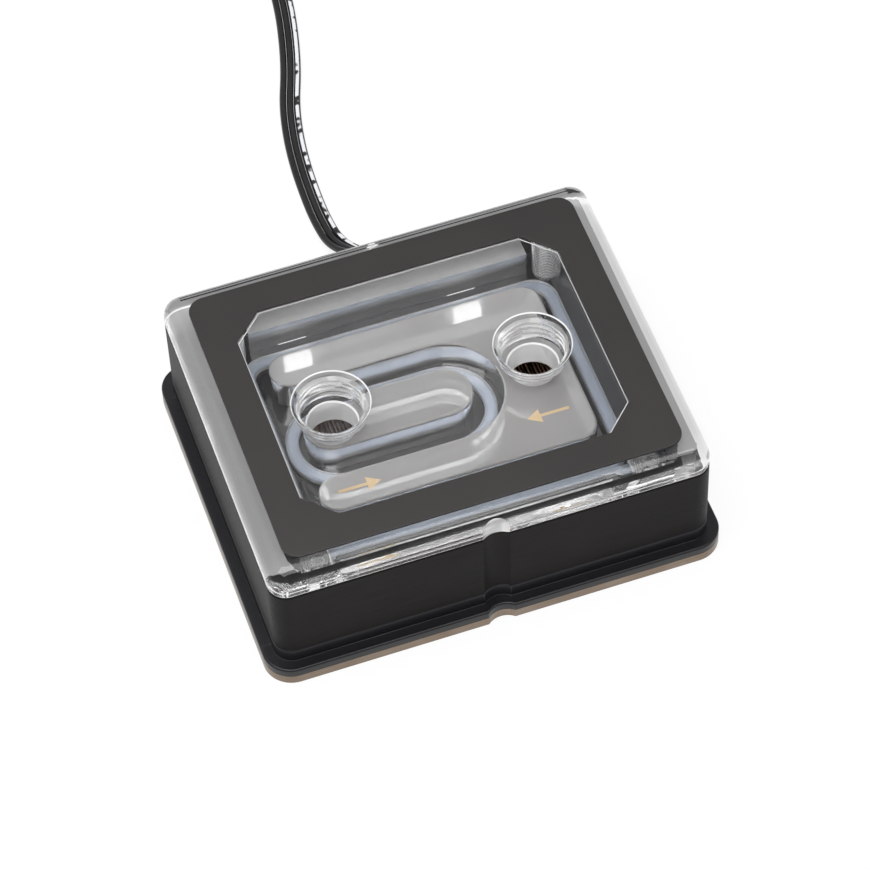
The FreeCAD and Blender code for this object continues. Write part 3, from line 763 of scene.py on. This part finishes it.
@dataclass
class AcrylicTop:
    """Clear top: rounded rim, lower block, ports, channels, grooves and screw holes."""

    top: float = 28.38
    bottom: float = 6.75
    past: float = 1.0               # cutters reach this far past what they cut
    below: float = 5.0              # cutters start this low, under the block
    level_gap: float = 0.03         # keeps neighbouring cuts from sharing one plane
    edge: float = 0.25              # broken edge at a port's step
    rim_low: float = 23.13
    rim_corner: float = 3.5
    rim_round: float = 3.4
    rim_steps: int = 14
    rim_break: float = 0.45         # sanded edge under the rim
    break_steps: int = 2
    rim_bands: tuple[tuple[float, Acrylic], ...] = (    # under the rim, from its edge inwards
        (0.3, FACED), (0.25, POLISHED), (0.9, FACED), (0.4, FROSTED),
    )
    front_strip: float = -29.0      # the rim's underside is polished in front of this
    lower_half_x: float = 36.3
    lower_half_y: float = 29.45
    lower_corner: float = 2.1
    lower_lap: float = 1.5          # the lower block reaches this far into the rim
    port_x: tuple[float, float] = (-19.0, 19.1)
    port_rim: float = 7.2
    port_faces: int = 112
    lip: float = 0.16               # sanded lip at the mouth of a port
    brim: tuple[float, float, float] = (0.05, 0.06, 0.02)   # broken edge: down, out and over
    thread_crest: float = 5.9
    thread_root: float = 6.58
    thread_pitch: float = 1.337     # 19 turns to the inch
    thread_flat: float = 0.1        # share of the pitch that is half a crest or root
    thread_step: float = 22.5
    thread_start: float = 0.35      # bare wall between the step and the first turn
    crest_reach: float = 0.05       # faces this near to the crest's radius are the crest's
    bore: float = 4.6
    bore_lap: float = 0.6           # the bore starts this far under the channel's ceiling
    ceiling: float = 17.1
    ceiling_round: float = 0.5
    slot_half: float = 5.37
    slot_end_x: float = 2.0
    island: float = 10.7
    island_end_x: float = 12.9
    outlet_half_y: float = 18.4
    outlet_right_x: float = 25.8
    outlet_left_x: float = -26.25
    outlet_corner: float = 3.9
    lit_wall: float = 0.1           # faces this near to the channel's back are polished
    groove_top: float = 8.3
    groove_half: float = 1.2
    outer_seal: tuple[float, float, float] = (29.3, 21.7, 3.8)      # half sizes and corner
    inlet_seal: tuple[float, float, float] = (-18.0, 2.0, 8.5)      # ends and half width
    window: tuple[float, float, float] = (30.66, 23.86, 5.5)        # half sizes and cut corner
    line_inset: float = 0.12
    line_mm: float = 0.1
    notch_radius: float = 3.8
    notch_depth: float = 0.95
    notch_faces: int = 96
    screw: tuple[float, float] = (30.8, 24.9)
    screw_crest: float = 2.42
    screw_root: float = 2.8
    screw_pitch: float = 0.8
    screw_flank: float = 0.75       # share of the pitch at which a flank's rough half begins
    screw_top: float = 22.6
    screw_cone: float = 1.0         # height of the cone that the drill leaves
    screw_faces: int = 56
    strip_half_x: float = 27.0
    strip_y: float = 25.3
    strip_top: float = 16.0

    def blank(self) -> bpy.types.Object:
        """Makes the rim and the block under it.

        Returns:
            Both as one polished solid in millimetres, with cutter bands under the rim.
        """
        finishes = (POLISHED, FACED, FROSTED)
        polished, faced, frosted = range(len(finishes))
        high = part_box("acrylic_top")[1] / MM
        bm = prism(
            rectangle(high.x, high.y, self.rim_corner), self.rim_low, self.top,
            self.rim_round, self.rim_steps,
        )
        round_rim(bm, self.rim_low, self.rim_break, self.break_steps)
        bm.normal_update()
        under = [f for f in bm.faces if f.normal.z < FACES_DOWN]
        for face in bm.faces:
            if FACES_DOWN <= face.normal.z < -STEEP:
                face.material_index = frosted
        for width, finish in self.rim_bands:
            band = bmesh.ops.inset_region(bm, faces=under, thickness=width, depth=0.0)["faces"]
            for face in band:
                face.material_index = finishes.index(finish)
        for face in under:
            face.material_index = faced
        parts = dict.fromkeys(part for f in under for part in (*f.edges, *f.verts))
        bmesh.ops.bisect_plane(
            bm, geom=[*under, *parts], plane_co=(0, self.front_strip, 0), plane_no=(0, 1, 0),
        )
        for face in bm.faces:
            in_front = face.calc_center_median().y < self.front_strip
            if in_front and face.normal.z < FACES_DOWN and face.material_index == faced:
                face.material_index = polished
        rim = to_object(bm, "clear_top", *finishes, unit=1.0)
        lower = prism(
            rectangle(self.lower_half_x, self.lower_half_y, self.lower_corner),
            self.bottom, self.rim_low + self.lower_lap,
        )
        return combine(rim, [cutter(lower, "lower_block", POLISHED, SIDE_MILLED)], Join.ADD)

    def port(self, x: float, name: str) -> bpy.types.Object:
        """Makes the cutter of one port: bore, step, thread and the wide mouth.

        Args:
            x: place of its axis.
            name: the cutter's name.

        Returns:
            The cutter, in millimetres.
        """
        polished, frosted, threaded = range(3)
        crest, root, pitch = self.thread_crest, self.thread_root, self.thread_pitch
        start, end = self.ceiling - self.bore_lap, self.top + self.past
        mouth = self.top - (self.port_rim - root)
        profile = [
            (0, start), (self.bore, start), (self.bore, self.thread_step - self.edge),
            (self.bore + self.edge, self.thread_step), (crest, self.thread_step),
        ]
        flat = pitch * self.thread_flat
        z = self.thread_step + self.thread_start
        while z + pitch < mouth:
            middle = z + pitch / 2
            profile += [(crest, z + flat), (root, middle - flat), (root, middle + flat)]
            z += pitch
            profile.append((crest, z - flat))
        lip = self.port_rim - self.lip
        down, out, over = self.brim
        profile += [
            (crest, z + flat), (root, z + pitch / 2), (root, mouth - down),
            (lip, self.top - self.lip - down), (self.port_rim, self.top - down),
            (self.port_rim + out, self.top + over), (self.port_rim + out, end), (0, end),
        ]
        bm = lathe(profile, x, 0, self.port_faces)
        for face in bm.faces:
            middle = face.calc_center_median()
            away = math.hypot(middle.x - x, middle.y)
            if middle.z < self.thread_step + self.edge:
                face.material_index = frosted if away < self.bore + self.edge else polished
            elif middle.z < mouth:
                on_crest = abs(face.normal.z) < STEEP and away < crest + self.crest_reach
                face.material_index = frosted if on_crest else threaded
            elif away > lip and middle.z < self.top:
                face.material_index = frosted
        return to_object(bm, name, POLISHED, FROSTED, THREADED, unit=1.0)

    def screw_hole(self, x: float, y: float, name: str) -> bpy.types.Object:
        """Makes the cutter of one tapped blind hole with the cone that its drill leaves.

        Args:
            x: place of its axis.
            y: place of its axis.
            name: the cutter's name.

        Returns:
            The cutter, in millimetres.
        """
        crest, root, pitch = self.screw_crest, self.screw_root, self.screw_pitch
        middle = (crest + root) / 2
        profile = [(0, self.below), (crest, self.below)]
        z = self.bottom
        while z < self.screw_top - pitch:
            profile += [(crest, z), (root, z + pitch / 2), (middle, z + pitch * self.screw_flank)]
            z += pitch
        profile += [(crest, z), (crest, self.screw_top), (0, self.screw_top + self.screw_cone)]
        bm = lathe(profile, x, y, self.screw_faces)
        for face in bm.faces:
            centre = face.calc_center_median()
            away = math.hypot(centre.x - x, centre.y - y)
            face.material_index = int(face.normal.z > 0 and away < middle)
        return to_object(bm, name, THREADED, FROSTED, unit=1.0)

    def channels(self) -> list[bpy.types.Object]:
        """Makes the cutters of the inlet slot and of the channel that goes round the island.

        Returns:
            Both cutters, in millimetres.
        """
        milled, side_milled, polished = range(3)
        slot = slot_outline(self.port_x[0], self.slot_end_x, self.slot_half)
        arm = (self.outlet_half_y - self.island) / 2 * ROUND_END
        left, right = self.outlet_left_x, self.outlet_right_x
        top, turn = self.outlet_half_y, self.island
        nose = turn * ROUND_END
        around = [
            (left, -top, arm), (right, -top, self.outlet_corner), (right, top, self.outlet_corner),
            (left, top, arm), (left, turn, arm), (self.island_end_x, turn, nose),
            (self.island_end_x, -turn, nose), (left, -turn, arm),
        ]
        made = []
        for name, corners, lift in (
            ("inlet_slot", slot, self.level_gap), ("outlet_channel", around, 0.0)
        ):
            bm = prism(corners, self.below - lift, self.ceiling + lift, self.ceiling_round)
            channel = to_object(bm, name, MILLED, SIDE_MILLED, POLISHED, unit=1.0)
            for face in channel.data.polygons:
                wall = polished if face.center.y > top - self.lit_wall else side_milled
                face.material_index = wall if abs(face.normal.z) < STEEP else milled
            made.append(channel)
        return made

    def groove(
        self, outer: list[Point], inner: list[Point], name: str, lift: float
    ) -> bpy.types.Object:
        """Makes the cutter of a seal groove between two outlines.

        Args:
            outer: the outer outline.
            inner: the inner outline.
            name: the cutter's name.
            lift: how far its top is over the common height.

        Returns:
            The cutter, in millimetres.
        """
        bm = prism(outer, self.below - self.level_gap - lift, self.groove_top + lift)
        ring = cutter(bm, name, GROOVE_CUT, FROSTED)
        core = prism(inner, self.below - self.past, self.groove_top + self.past)
        return combine(ring, [cutter(core, "core", FROSTED)], Join.CUT)

    def grooves(self) -> list[bpy.types.Object]:
        """Makes the cutters of both seal grooves.

        Returns:
            Both cutters, in millimetres.
        """
        half_x, half_y, corner = self.outer_seal
        left, right, half = self.inlet_seal
        grow = self.groove_half
        return [
            self.groove(
                rectangle(half_x + grow, half_y + grow, corner + grow),
                rectangle(half_x - grow, half_y - grow, corner - grow),
                "outer_groove", self.level_gap,
            ),
            self.groove(
                slot_outline(left, right, half + grow), slot_outline(left, right, half - grow),
                "inlet_groove", 2 * self.level_gap,
            ),
        ]

    def window_line(self) -> bpy.types.Object:
        """Makes the cutter of the fine scribed line just inside the cover's window.

        Returns:
            The cutter, in millimetres.
        """
        half_x, half_y, cut = self.window
        low, high = self.top - self.line_mm, self.top + self.past
        outlines = []
        for inward in (self.line_inset, self.line_inset + self.line_mm):
            x, y = half_x - inward, half_y - inward
            outlines.append([
                (-x + cut, -y, 0), (x - cut, -y, 0), (x, -y + cut, 0), (x, y - cut, 0),
                (x - cut, y, 0), (-x + cut, y, 0), (-x, y - cut, 0), (-x, -y + cut, 0),
            ])
        line = cutter(prism(outlines[0], low, high), "window_line", FROSTED)
        core = prism(outlines[1], low - self.past, high + self.past)
        return combine(line, [cutter(core, "core", FROSTED)], Join.CUT)

    def notches(self) -> list[bpy.types.Object]:
        """Makes the cutters of the half-round locating notches.

        Returns:
            The front and the back cutter, in millimetres.
        """
        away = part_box("acrylic_top")[1].y / MM - self.notch_depth + self.notch_radius
        low, high = self.rim_low - self.past, self.top + self.past
        profile = [(0, low), (self.notch_radius, low), (self.notch_radius, high), (0, high)]
        return [
            cutter(lathe(profile, 0, side * away, self.notch_faces), "notch_%d" % side, MILLED)
            for side in (-1, 1)
        ]

    def strip_room(self) -> bpy.types.Object:
        """Makes the cutter of the rebate that the light strip stands in.

        Returns:
            The cutter, in millimetres.
        """
        depth = self.lower_half_y + self.past - self.strip_y
        room = rectangle(self.strip_half_x, depth / 2, 0.0, 0, self.strip_y + depth / 2)
        return cutter(prism(room, self.below, self.strip_top), "strip_room", FROSTED, ROOM_WALL)

    def build(self) -> bpy.types.Object:
        """Makes the finished top.

        Returns:
            The object that replaces the frame's acrylic top.
        """
        top = self.blank()
        cutters = self.notches() + self.channels() + self.grooves()
        cutters += [self.window_line(), self.strip_room()]
        cutters += [self.port(x, "port_%d" % i) for i, x in enumerate(self.port_x)]
        reach_x, reach_y = self.screw
        cutters += [self.screw_hole(side_x * reach_x, side_y * reach_y, "screw_hole_%d" % i)
                    for i, (side_x, side_y) in enumerate(CORNERS)]
        combine(top, cutters, Join.CUT)
        shade(top)
        top.data.transform(Matrix.Scale(MM, 4))
        return hand_over(top, "clear_acrylic", "acrylic_top")


class Flow(Enum):
    """Which way an arrow points along X."""

    IN = 1
    OUT = -1


@dataclass
class FlowArrow:
    """Small gold arrow printed on a channel's ceiling, in place of words."""

    x: float
    y: float
    flow: Flow
    length: float = 8.0
    head: float = 2.6
    width: float = 3.0
    shaft: float = 0.6
    ink: tuple[float, float] = (0.02, 0.06)     # its underside and top, over the ceiling
    ceiling: float = AcrylicTop.ceiling

    def build(self) -> bpy.types.Object:
        """Makes the arrow.

        Returns:
            The arrow, its ink sunk a little into the ceiling so that no haze hides it.
        """
        half = self.length / 2
        neck = half - self.head
        shape = [
            (-half, -self.shaft / 2), (neck, -self.shaft / 2), (neck, -self.width / 2), (half, 0),
            (neck, self.width / 2), (neck, self.shaft / 2), (-half, self.shaft / 2),
        ]
        turn = self.flow.value
        corners = [(self.x + turn * x, self.y + turn * y, 0.0) for x, y in shape]
        bm = prism(corners, self.ceiling + self.ink[0], self.ceiling + self.ink[1])
        arrow = to_object(bm, "flow_arrow_" + self.flow.name.lower(), GOLD_INK)
        return hand_over(arrow, GOLD_INK.slot)


def add_spline(curve: bpy.types.Curve, kind: str, points: list) -> bpy.types.Spline:
    """Adds one open spline to a curve.

    Args:
        curve: the curve.
        kind: "NURBS" or "POLY".
        points: its points, in metres.

    Returns:
        The new spline.
    """
    spline = curve.splines.new(kind)
    spline.points.add(len(points) - 1)
    for slot, point in zip(spline.points, points):
        slot.co = (*point, 1.0)
    return spline


def curve_mesh(curve: bpy.types.Curve) -> bpy.types.Mesh:
    """The mesh of a curve, with its bevel."""
    holder = bpy.data.objects.new(curve.name, curve)
    mesh = bpy.data.meshes.new_from_object(holder)
    bpy.data.objects.remove(holder)
    return mesh


def share_between(value: float, low: float, span: float) -> float:
    """How far a value has gone from low over a span, from 0 to 1."""
    return min(max((value - low) / span, 0), 1)


@dataclass
class Lead:
    """Flat three-core lead: its route, its coil, its insulated cores and what it carries."""

    exit: Point = (0.0065, 0.03535, 0.0088)
    core: float = 0.68              # radius of one core
    cores: int = 3
    core_steps: int = 4
    pitch: float = 1.4
    width: float = 4.2
    length_m: float = 0.46
    line_steps: int = 10
    coil_centre: tuple[float, float] = (33.0, 141.0)
    coil_radius: float = 23.5
    turns: float = 2.25
    points_per_turn: int = 16
    climb_from: float = 0.72        # share of a turn at which it climbs onto the one before
    climb_span: float = 0.26        # share of a turn that the climb takes
    waver: float = 0.25             # how far the turns leave the true circle
    waver_rate: float = 2.1
    lying: float = 0.75
    layer: float = 1.58
    way_out: tuple[float, float, float] = (0.35, 0.7, 1.0)  # shares of the way to the plug
    way_drop: float = 0.6           # how far it has come down at the second
    plug_x: float = 51.73
    plug_depth: float = 1.0
    plug_height: float = 1.5
    twist_degrees: float = 38.0
    twist_z: tuple[float, float] = (0.0015, 0.004)      # it twists above this, over this span
    twist_y: tuple[float, float] = (0.0365, 0.006)      # and behind this, over this span
    stripe_core: int = 2
    stripe_degrees: float = 28.0    # the ink lies on faces less steep than this
    stripe_from_y: float = 0.04     # the ink has worn off nearer the grommet
    grommet_edge: float = 0.2
    tie_edge: float = 0.15
    plug_edge: float = 0.08
    route: list[Point] = field(default_factory=lambda: [
        (0.0065, 0.03535, 0.0088),
        (0.0063, 0.0424, 0.0082),
        (0.0022, 0.0488, 0.0050),
        (-0.0013, 0.0552, 0.0020),
        (-0.0019, 0.0629, 0.0009),
        (-0.00175, 0.0707, 0.00078),
        (-0.0013, 0.0780, 0.00078),
        (-0.0003, 0.0855, 0.00078),
        (0.0015, 0.0935, 0.00078),
        (0.0044, 0.1015, 0.00078),
        (0.0067, 0.1100, 0.00078),
        (0.0084, 0.1182, 0.00078),
        (0.0093, 0.1260, 0.00078),
        (0.0095, 0.1335, 0.00078),
    ])

    def coil_points(self) -> list[Point]:
        """Turns of the coil, each lying on the one before it, then the way to the plug.

        Returns:
            Points of the lead's line, in metres.
        """
        x, y = self.coil_centre
        points = []
        for i in range(round(self.turns * self.points_per_turn) + 1):
            turn = i / self.points_per_turn
            climb = share_between(turn % 1, self.climb_from, self.climb_span)
            level = math.floor(turn) + climb * climb * (3 - 2 * climb)
            radius = self.coil_radius + self.waver * math.sin(self.waver_rate * turn)
            angle = math.pi - math.tau * turn
            points.append((
                (x + radius * math.cos(angle)) * MM,
                (y + radius * math.sin(angle)) * MM,
                (self.lying + self.layer * level) * MM,
            ))
        top = self.lying + self.layer * math.floor(self.turns)
        out_y = (y + self.coil_radius) * MM
        for share, height in zip(self.way_out, (top, top - self.way_drop, self.plug_height)):
            points.append(((x + share * (self.plug_x - x)) * MM, out_y, height * MM))
        points.append(((self.plug_x + self.plug_depth) * MM, out_y, self.plug_height * MM))
        return points

    def centreline(self) -> list[Vector]:
        """Reads points from the smooth line through the route and the coil.

        Returns:
            Close points along the lead, in metres.
        """
        curve = bpy.data.curves.new("lead_line", "CURVE")
        curve.dimensions = "3D"
        spline = add_spline(curve, "NURBS", self.route + self.coil_points())
        spline.order_u = 3
        spline.use_endpoint_u = True
        spline.resolution_u = self.line_steps
        mesh = curve_mesh(curve)
        line = [v.co.copy() for v in mesh.vertices]
        bpy.data.meshes.remove(mesh)
        return line

    def strands(self, line: list[Vector]) -> list[list[Vector]]:
        """Lays the cores side by side, slightly twisted where they hang.

        Args:
            line: the lead's own line.

        Returns:
            The line of each core.
        """
        up = Vector((0, 0, 1))
        lines: list[list[Vector]] = [[] for _ in range(self.cores)]
        for i, here in enumerate(line):
            before, after = line[max(i - 1, 0)], line[min(i + 1, len(line) - 1)]
            along = (after - before).normalized()
            side = along.cross(up).normalized()
            hang = share_between(here.z, *self.twist_z) * share_between(here.y, *self.twist_y)
            side.rotate(Matrix.Rotation(math.radians(self.twist_degrees) * hang, 3, along))
            for k, strand in enumerate(lines):
                strand.append(here + side * ((k - self.cores // 2) * self.pitch * MM))
        return lines

    def carried(self) -> list[bpy.types.Object]:
        """Dresses the pieces on the lead.

        Returns:
            The grommet, the coil's tie, the plug and its contacts.
        """
        return [
            Refined("cable_grommet", RUBBER, self.grommet_edge).build(),
            Refined("coil_tie", TIE_NYLON, self.tie_edge).build(),
            Refined("lead_plug", PLUG_NYLON, self.plug_edge).build(),
            Refined("plug_contacts", TIN, edge=0.0).build(),
        ]

    def build(self) -> bpy.types.Object:
        """Makes the lead and the pieces on it.

        Returns:
            One mesh of three cores, declared as a flat lead.
        """
        carried = self.carried()
        line = self.centreline()
        curve = bpy.data.curves.new("lead_cores", "CURVE")
        curve.dimensions = "3D"
        curve.bevel_depth = self.core * MM
        curve.bevel_resolution = self.core_steps
        curve.use_fill_caps = True
        for points in self.strands(line):
            add_spline(curve, "POLY", points)
        mesh = curve_mesh(curve)
        mesh.name = "lead_cores"
        mesh.materials.clear()
        mesh.materials.append(finish_of(CABLE_PVC))
        mesh.materials.append(finish_of(PrintedStripe()))
        lead = new_object("lead_cores", mesh)
        share = len(mesh.polygons) // self.cores
        upward = math.cos(math.radians(self.stripe_degrees))
        for face in mesh.polygons[self.stripe_core * share:]:
            if face.normal.z > upward and face.center.y > self.stripe_from_y:
                face.material_index = 1
        mesh.shade_smooth()
        hand_over(lead, CABLE_PVC.slot, "lead", "lead_coil", "lead_tails")
        return lead


@dataclass
class Block:
    """Jet sheet, black surround, seals, cover and the screws from beneath."""

    ring_edge: float = 0.08
    seal_edge: float = 0.2
    cover_edge: float = 0.1
    screw_edge: float = 0.1

    def build(self) -> None:
        """Dresses its pieces, from the jet sheet up."""
        Refined("flow_plate", FLOW_PLATE, edge=0.0).build()
        Refined("body_ring", BODY_PLASTIC, self.ring_edge).build()
        for node in ("base_o_ring", "outer_o_ring", "inlet_o_ring"):
            Refined(node, SEAL, self.seal_edge).build()
        Refined("cover_tape", TAPE, edge=0.0).build()
        Refined("cover_plate", COVER_METAL, self.cover_edge).build()
        Refined("clamp_screws", SCREW_STEEL, self.screw_edge).build()


@dataclass
class LightStrip:
    """Board with its lamps, chips and pads, behind the clear channel."""

    board_edge: float = 0.05
    lamp_edge: float = 0.1
    chip_edge: float = 0.06

    def build(self) -> None:
        """Dresses its pieces."""
        Refined("led_board", BOARD, self.board_edge).build()
        # the diodes carry a painted glow, not light of their own
        Refined("leds", LED_BODY_PAINTED_GLOW, self.lamp_edge).build()
        Refined("board_chips", CHIP, self.chip_edge).build()
        Refined("solder_pads", SOLDER, edge=0.0).build()


@dataclass
class Base:
    """Copper plate with its fins, and the black frame that holds it."""

    fins_low: Point = (-27.0, -19.0, 1.0)
    fins_high: Point = (27.0, 19.0, 6.5)
    land_x: tuple[float, float] = (30.6, 36.2)      # lands beside the outer seal, where the frame takes painted light
    land_half_y: float = 29.3
    land_z: tuple[float, float] = (6.0, 7.5)

    def build(self) -> None:
        """Dresses both: painted shade on the fins, a darker copper, and painted light on the lands
        beside the seal, a lighter acetal.
        """
        # painted shade: the fins take a darker copper than the plate
        fins = Patch(FIN_COPPER_PAINTED_SHADE, self.fins_low, self.fins_high)
        Refined("cold_plate", COPPER, edge=0.0, patches=(fins,)).build()
        near, far = self.land_x
        low, high = self.land_z
        half = self.land_half_y
        # painted light: the frame beside the outer seal is a lighter grey than the rest
        lands = tuple(
            Patch(SEAL_LAND_PAINTED_LIGHT, (left, -half, low), (right, half, high), cut=True)
            for left, right in ((-far, -near), (near, far))
        )
        Refined("mounting_frame", FRAME_PLASTIC, patches=lands).build()


@dataclass(frozen=True)
class SoftBox:
    """Rectangular lamp that faces the object.

    Attributes:
        name: its name.
        place: where it hangs, in metres.
        size: its width and height, in metres.
        watts: its power.
    """

    name: str
    place: Point
    size: tuple[float, float]
    watts: float

    def hang(self) -> None:
        """Adds the lamp to the scene."""
        data = bpy.data.lights.new(self.name, "AREA")
        data.shape = "RECTANGLE"
        data.size, data.size_y = self.size
        data.energy = self.watts
        lamp = new_object(self.name, data)
        lamp.location = self.place
        lamp.rotation_euler = (-Vector(self.place)).to_track_quat("-Z", "Y").to_euler()


def rays(tree: bpy.types.NodeTree, first: str, *others: str) -> bpy.types.NodeSocket:
    """Tells some kinds of rays from the rest.

    Args:
        tree: the node tree.
        first: the first kind, as the Light Path node names it.
        *others: the other kinds.

    Returns:
        The socket that gives 1 for these rays and 0 for the rest.
    """
    path = add_node(tree, "ShaderNodeLightPath").outputs
    seen = path[first]
    for kind in others:
        either = add_node(tree, "ShaderNodeMath", {0: seen, 1: path[kind]}, operation="MAXIMUM")
        seen = either.outputs[0]
    return seen


@dataclass
class Studio:
    """Camera, pale floor, white surroundings and soft boxes."""

    focal_px: float = 3842.755096       # camera fitted to the photograph, in its pixels
    picture_px: int = 870
    sensor_mm: float = 36.0
    clip_m: tuple[float, float] = (0.01, 50.0)
    eye: Point = (-121.39267184, -400.06959218, 572.32927784)
    across: Point = (0.944832646, -0.326341574, -0.028150464047)
    down: Point = (-0.277998364, -0.753472658, -0.595815292)
    ahead: Point = (0.173228695, 0.570771522, -0.802627989)
    floor_half: float = 3000.0
    floor_drop: float = 0.05            # keeps the floor and the base off one plane
    floor_colour: str = "#f4f4f5"
    floor_white: float = 0.88           # share of plain white where the floor is seen
    world_light: float = 0.5            # strength of the surroundings as a light
    boxes: tuple[SoftBox, ...] = (
        SoftBox("top_box", (-0.15, -0.1, 0.9), (0.9, 0.9), 9.2),
        SoftBox("key_box", (-0.55, 0.35, 0.75), (0.7, 0.5), 0.4),
        SoftBox("fill_box", (0.6, -0.5, 0.5), (0.5, 0.5), 0.4),
    )
    bounces: tuple[tuple[str, int], ...] = (    # enough for light to cross the clear walls
        ("max_bounces", 24), ("transmission_bounces", 24), ("glossy_bounces", 16),
        ("diffuse_bounces", 6),
    )

    def camera(self) -> None:
        """The camera, at the photograph's place."""
        data = bpy.data.cameras.new("camera")
        data.sensor_width = self.sensor_mm
        data.lens = self.focal_px * data.sensor_width / self.picture_px
        data.clip_start, data.clip_end = self.clip_m
        camera = new_object("camera", data)
        axes = Matrix((self.across, [-c for c in self.down], [-c for c in self.ahead])).transposed()
        camera.matrix_world = Matrix.Translation(Vector(self.eye) * MM) @ axes.to_4x4()
        bpy.context.scene.camera = camera

    def floor(self) -> None:
        """A pale floor that shows white to the eye and still takes the object's shadow."""
        material, tree = new_material("white_studio_floor")
        seen = rays(tree, "Is Camera Ray", "Is Transmission Ray", "Is Glossy Ray")
        share = add_node(
            tree, "ShaderNodeMath", {0: seen, 1: self.floor_white}, operation="MULTIPLY",
        )
        paper = add_node(tree, "ShaderNodeBsdfDiffuse", {"Color": linear(self.floor_colour)})
        glow = add_node(tree, "ShaderNodeEmission", {"Color": (1, 1, 1, 1), "Strength": 1.0})
        mix = add_node(tree, "ShaderNodeMixShader", {
            "Fac": share.outputs[0], 1: paper.outputs["BSDF"], 2: glow.outputs["Emission"],
        })
        add_node(tree, "ShaderNodeOutputMaterial", {"Surface": mix.outputs["Shader"]})
        bm = bmesh.new()
        bmesh.ops.create_grid(bm, x_segments=1, y_segments=1, size=self.floor_half)
        bmesh.ops.translate(bm, vec=(0, 0, -self.floor_drop), verts=bm.verts)
        floor = to_object(bm, "studio_floor")
        floor.data.materials.append(material)

    def surroundings(self) -> None:
        """White all round to the eye and through the acrylic, softer as a light."""
        world = bpy.data.worlds.new("white_studio")
        world.use_nodes = True
        tree = world.node_tree
        tree.nodes.clear()
        seen = rays(tree, "Is Camera Ray", "Is Transmission Ray")
        soft, white = (
            add_node(tree, "ShaderNodeBackground", {"Color": (1, 1, 1, 1), "Strength": strength})
            for strength in (self.world_light, 1.0)
        )
        mix = add_node(tree, "ShaderNodeMixShader", {
            "Fac": seen, 1: soft.outputs["Background"], 2: white.outputs["Background"],
        })
        add_node(tree, "ShaderNodeOutputWorld", {"Surface": mix.outputs["Shader"]})
        bpy.context.scene.world = world

    def build(self) -> None:
        """Sets the light and what is round the object."""
        scene = bpy.context.scene
        scene.view_settings.view_transform = "Standard"
        for name, count in self.bounces:
            setattr(scene.cycles, name, count)
        self.floor()
        self.surroundings()
        for box in self.boxes:
            box.hang()


def main() -> None:
    """Builds the camera, the lead, every piece in order, and the studio."""
    logging.basicConfig(level=logging.INFO, format="%(name)s %(message)s")
    studio = Studio()
    studio.camera()
    Lead().build()
    Block().build()
    LightStrip().build()
    Base().build()
    AcrylicTop().build()
    FlowArrow(x=-18.7, y=-14.5, flow=Flow.IN).build()
    FlowArrow(x=18.0, y=-11.0, flow=Flow.OUT).build()
    studio.build()


if __name__ == "__main__":
    main()
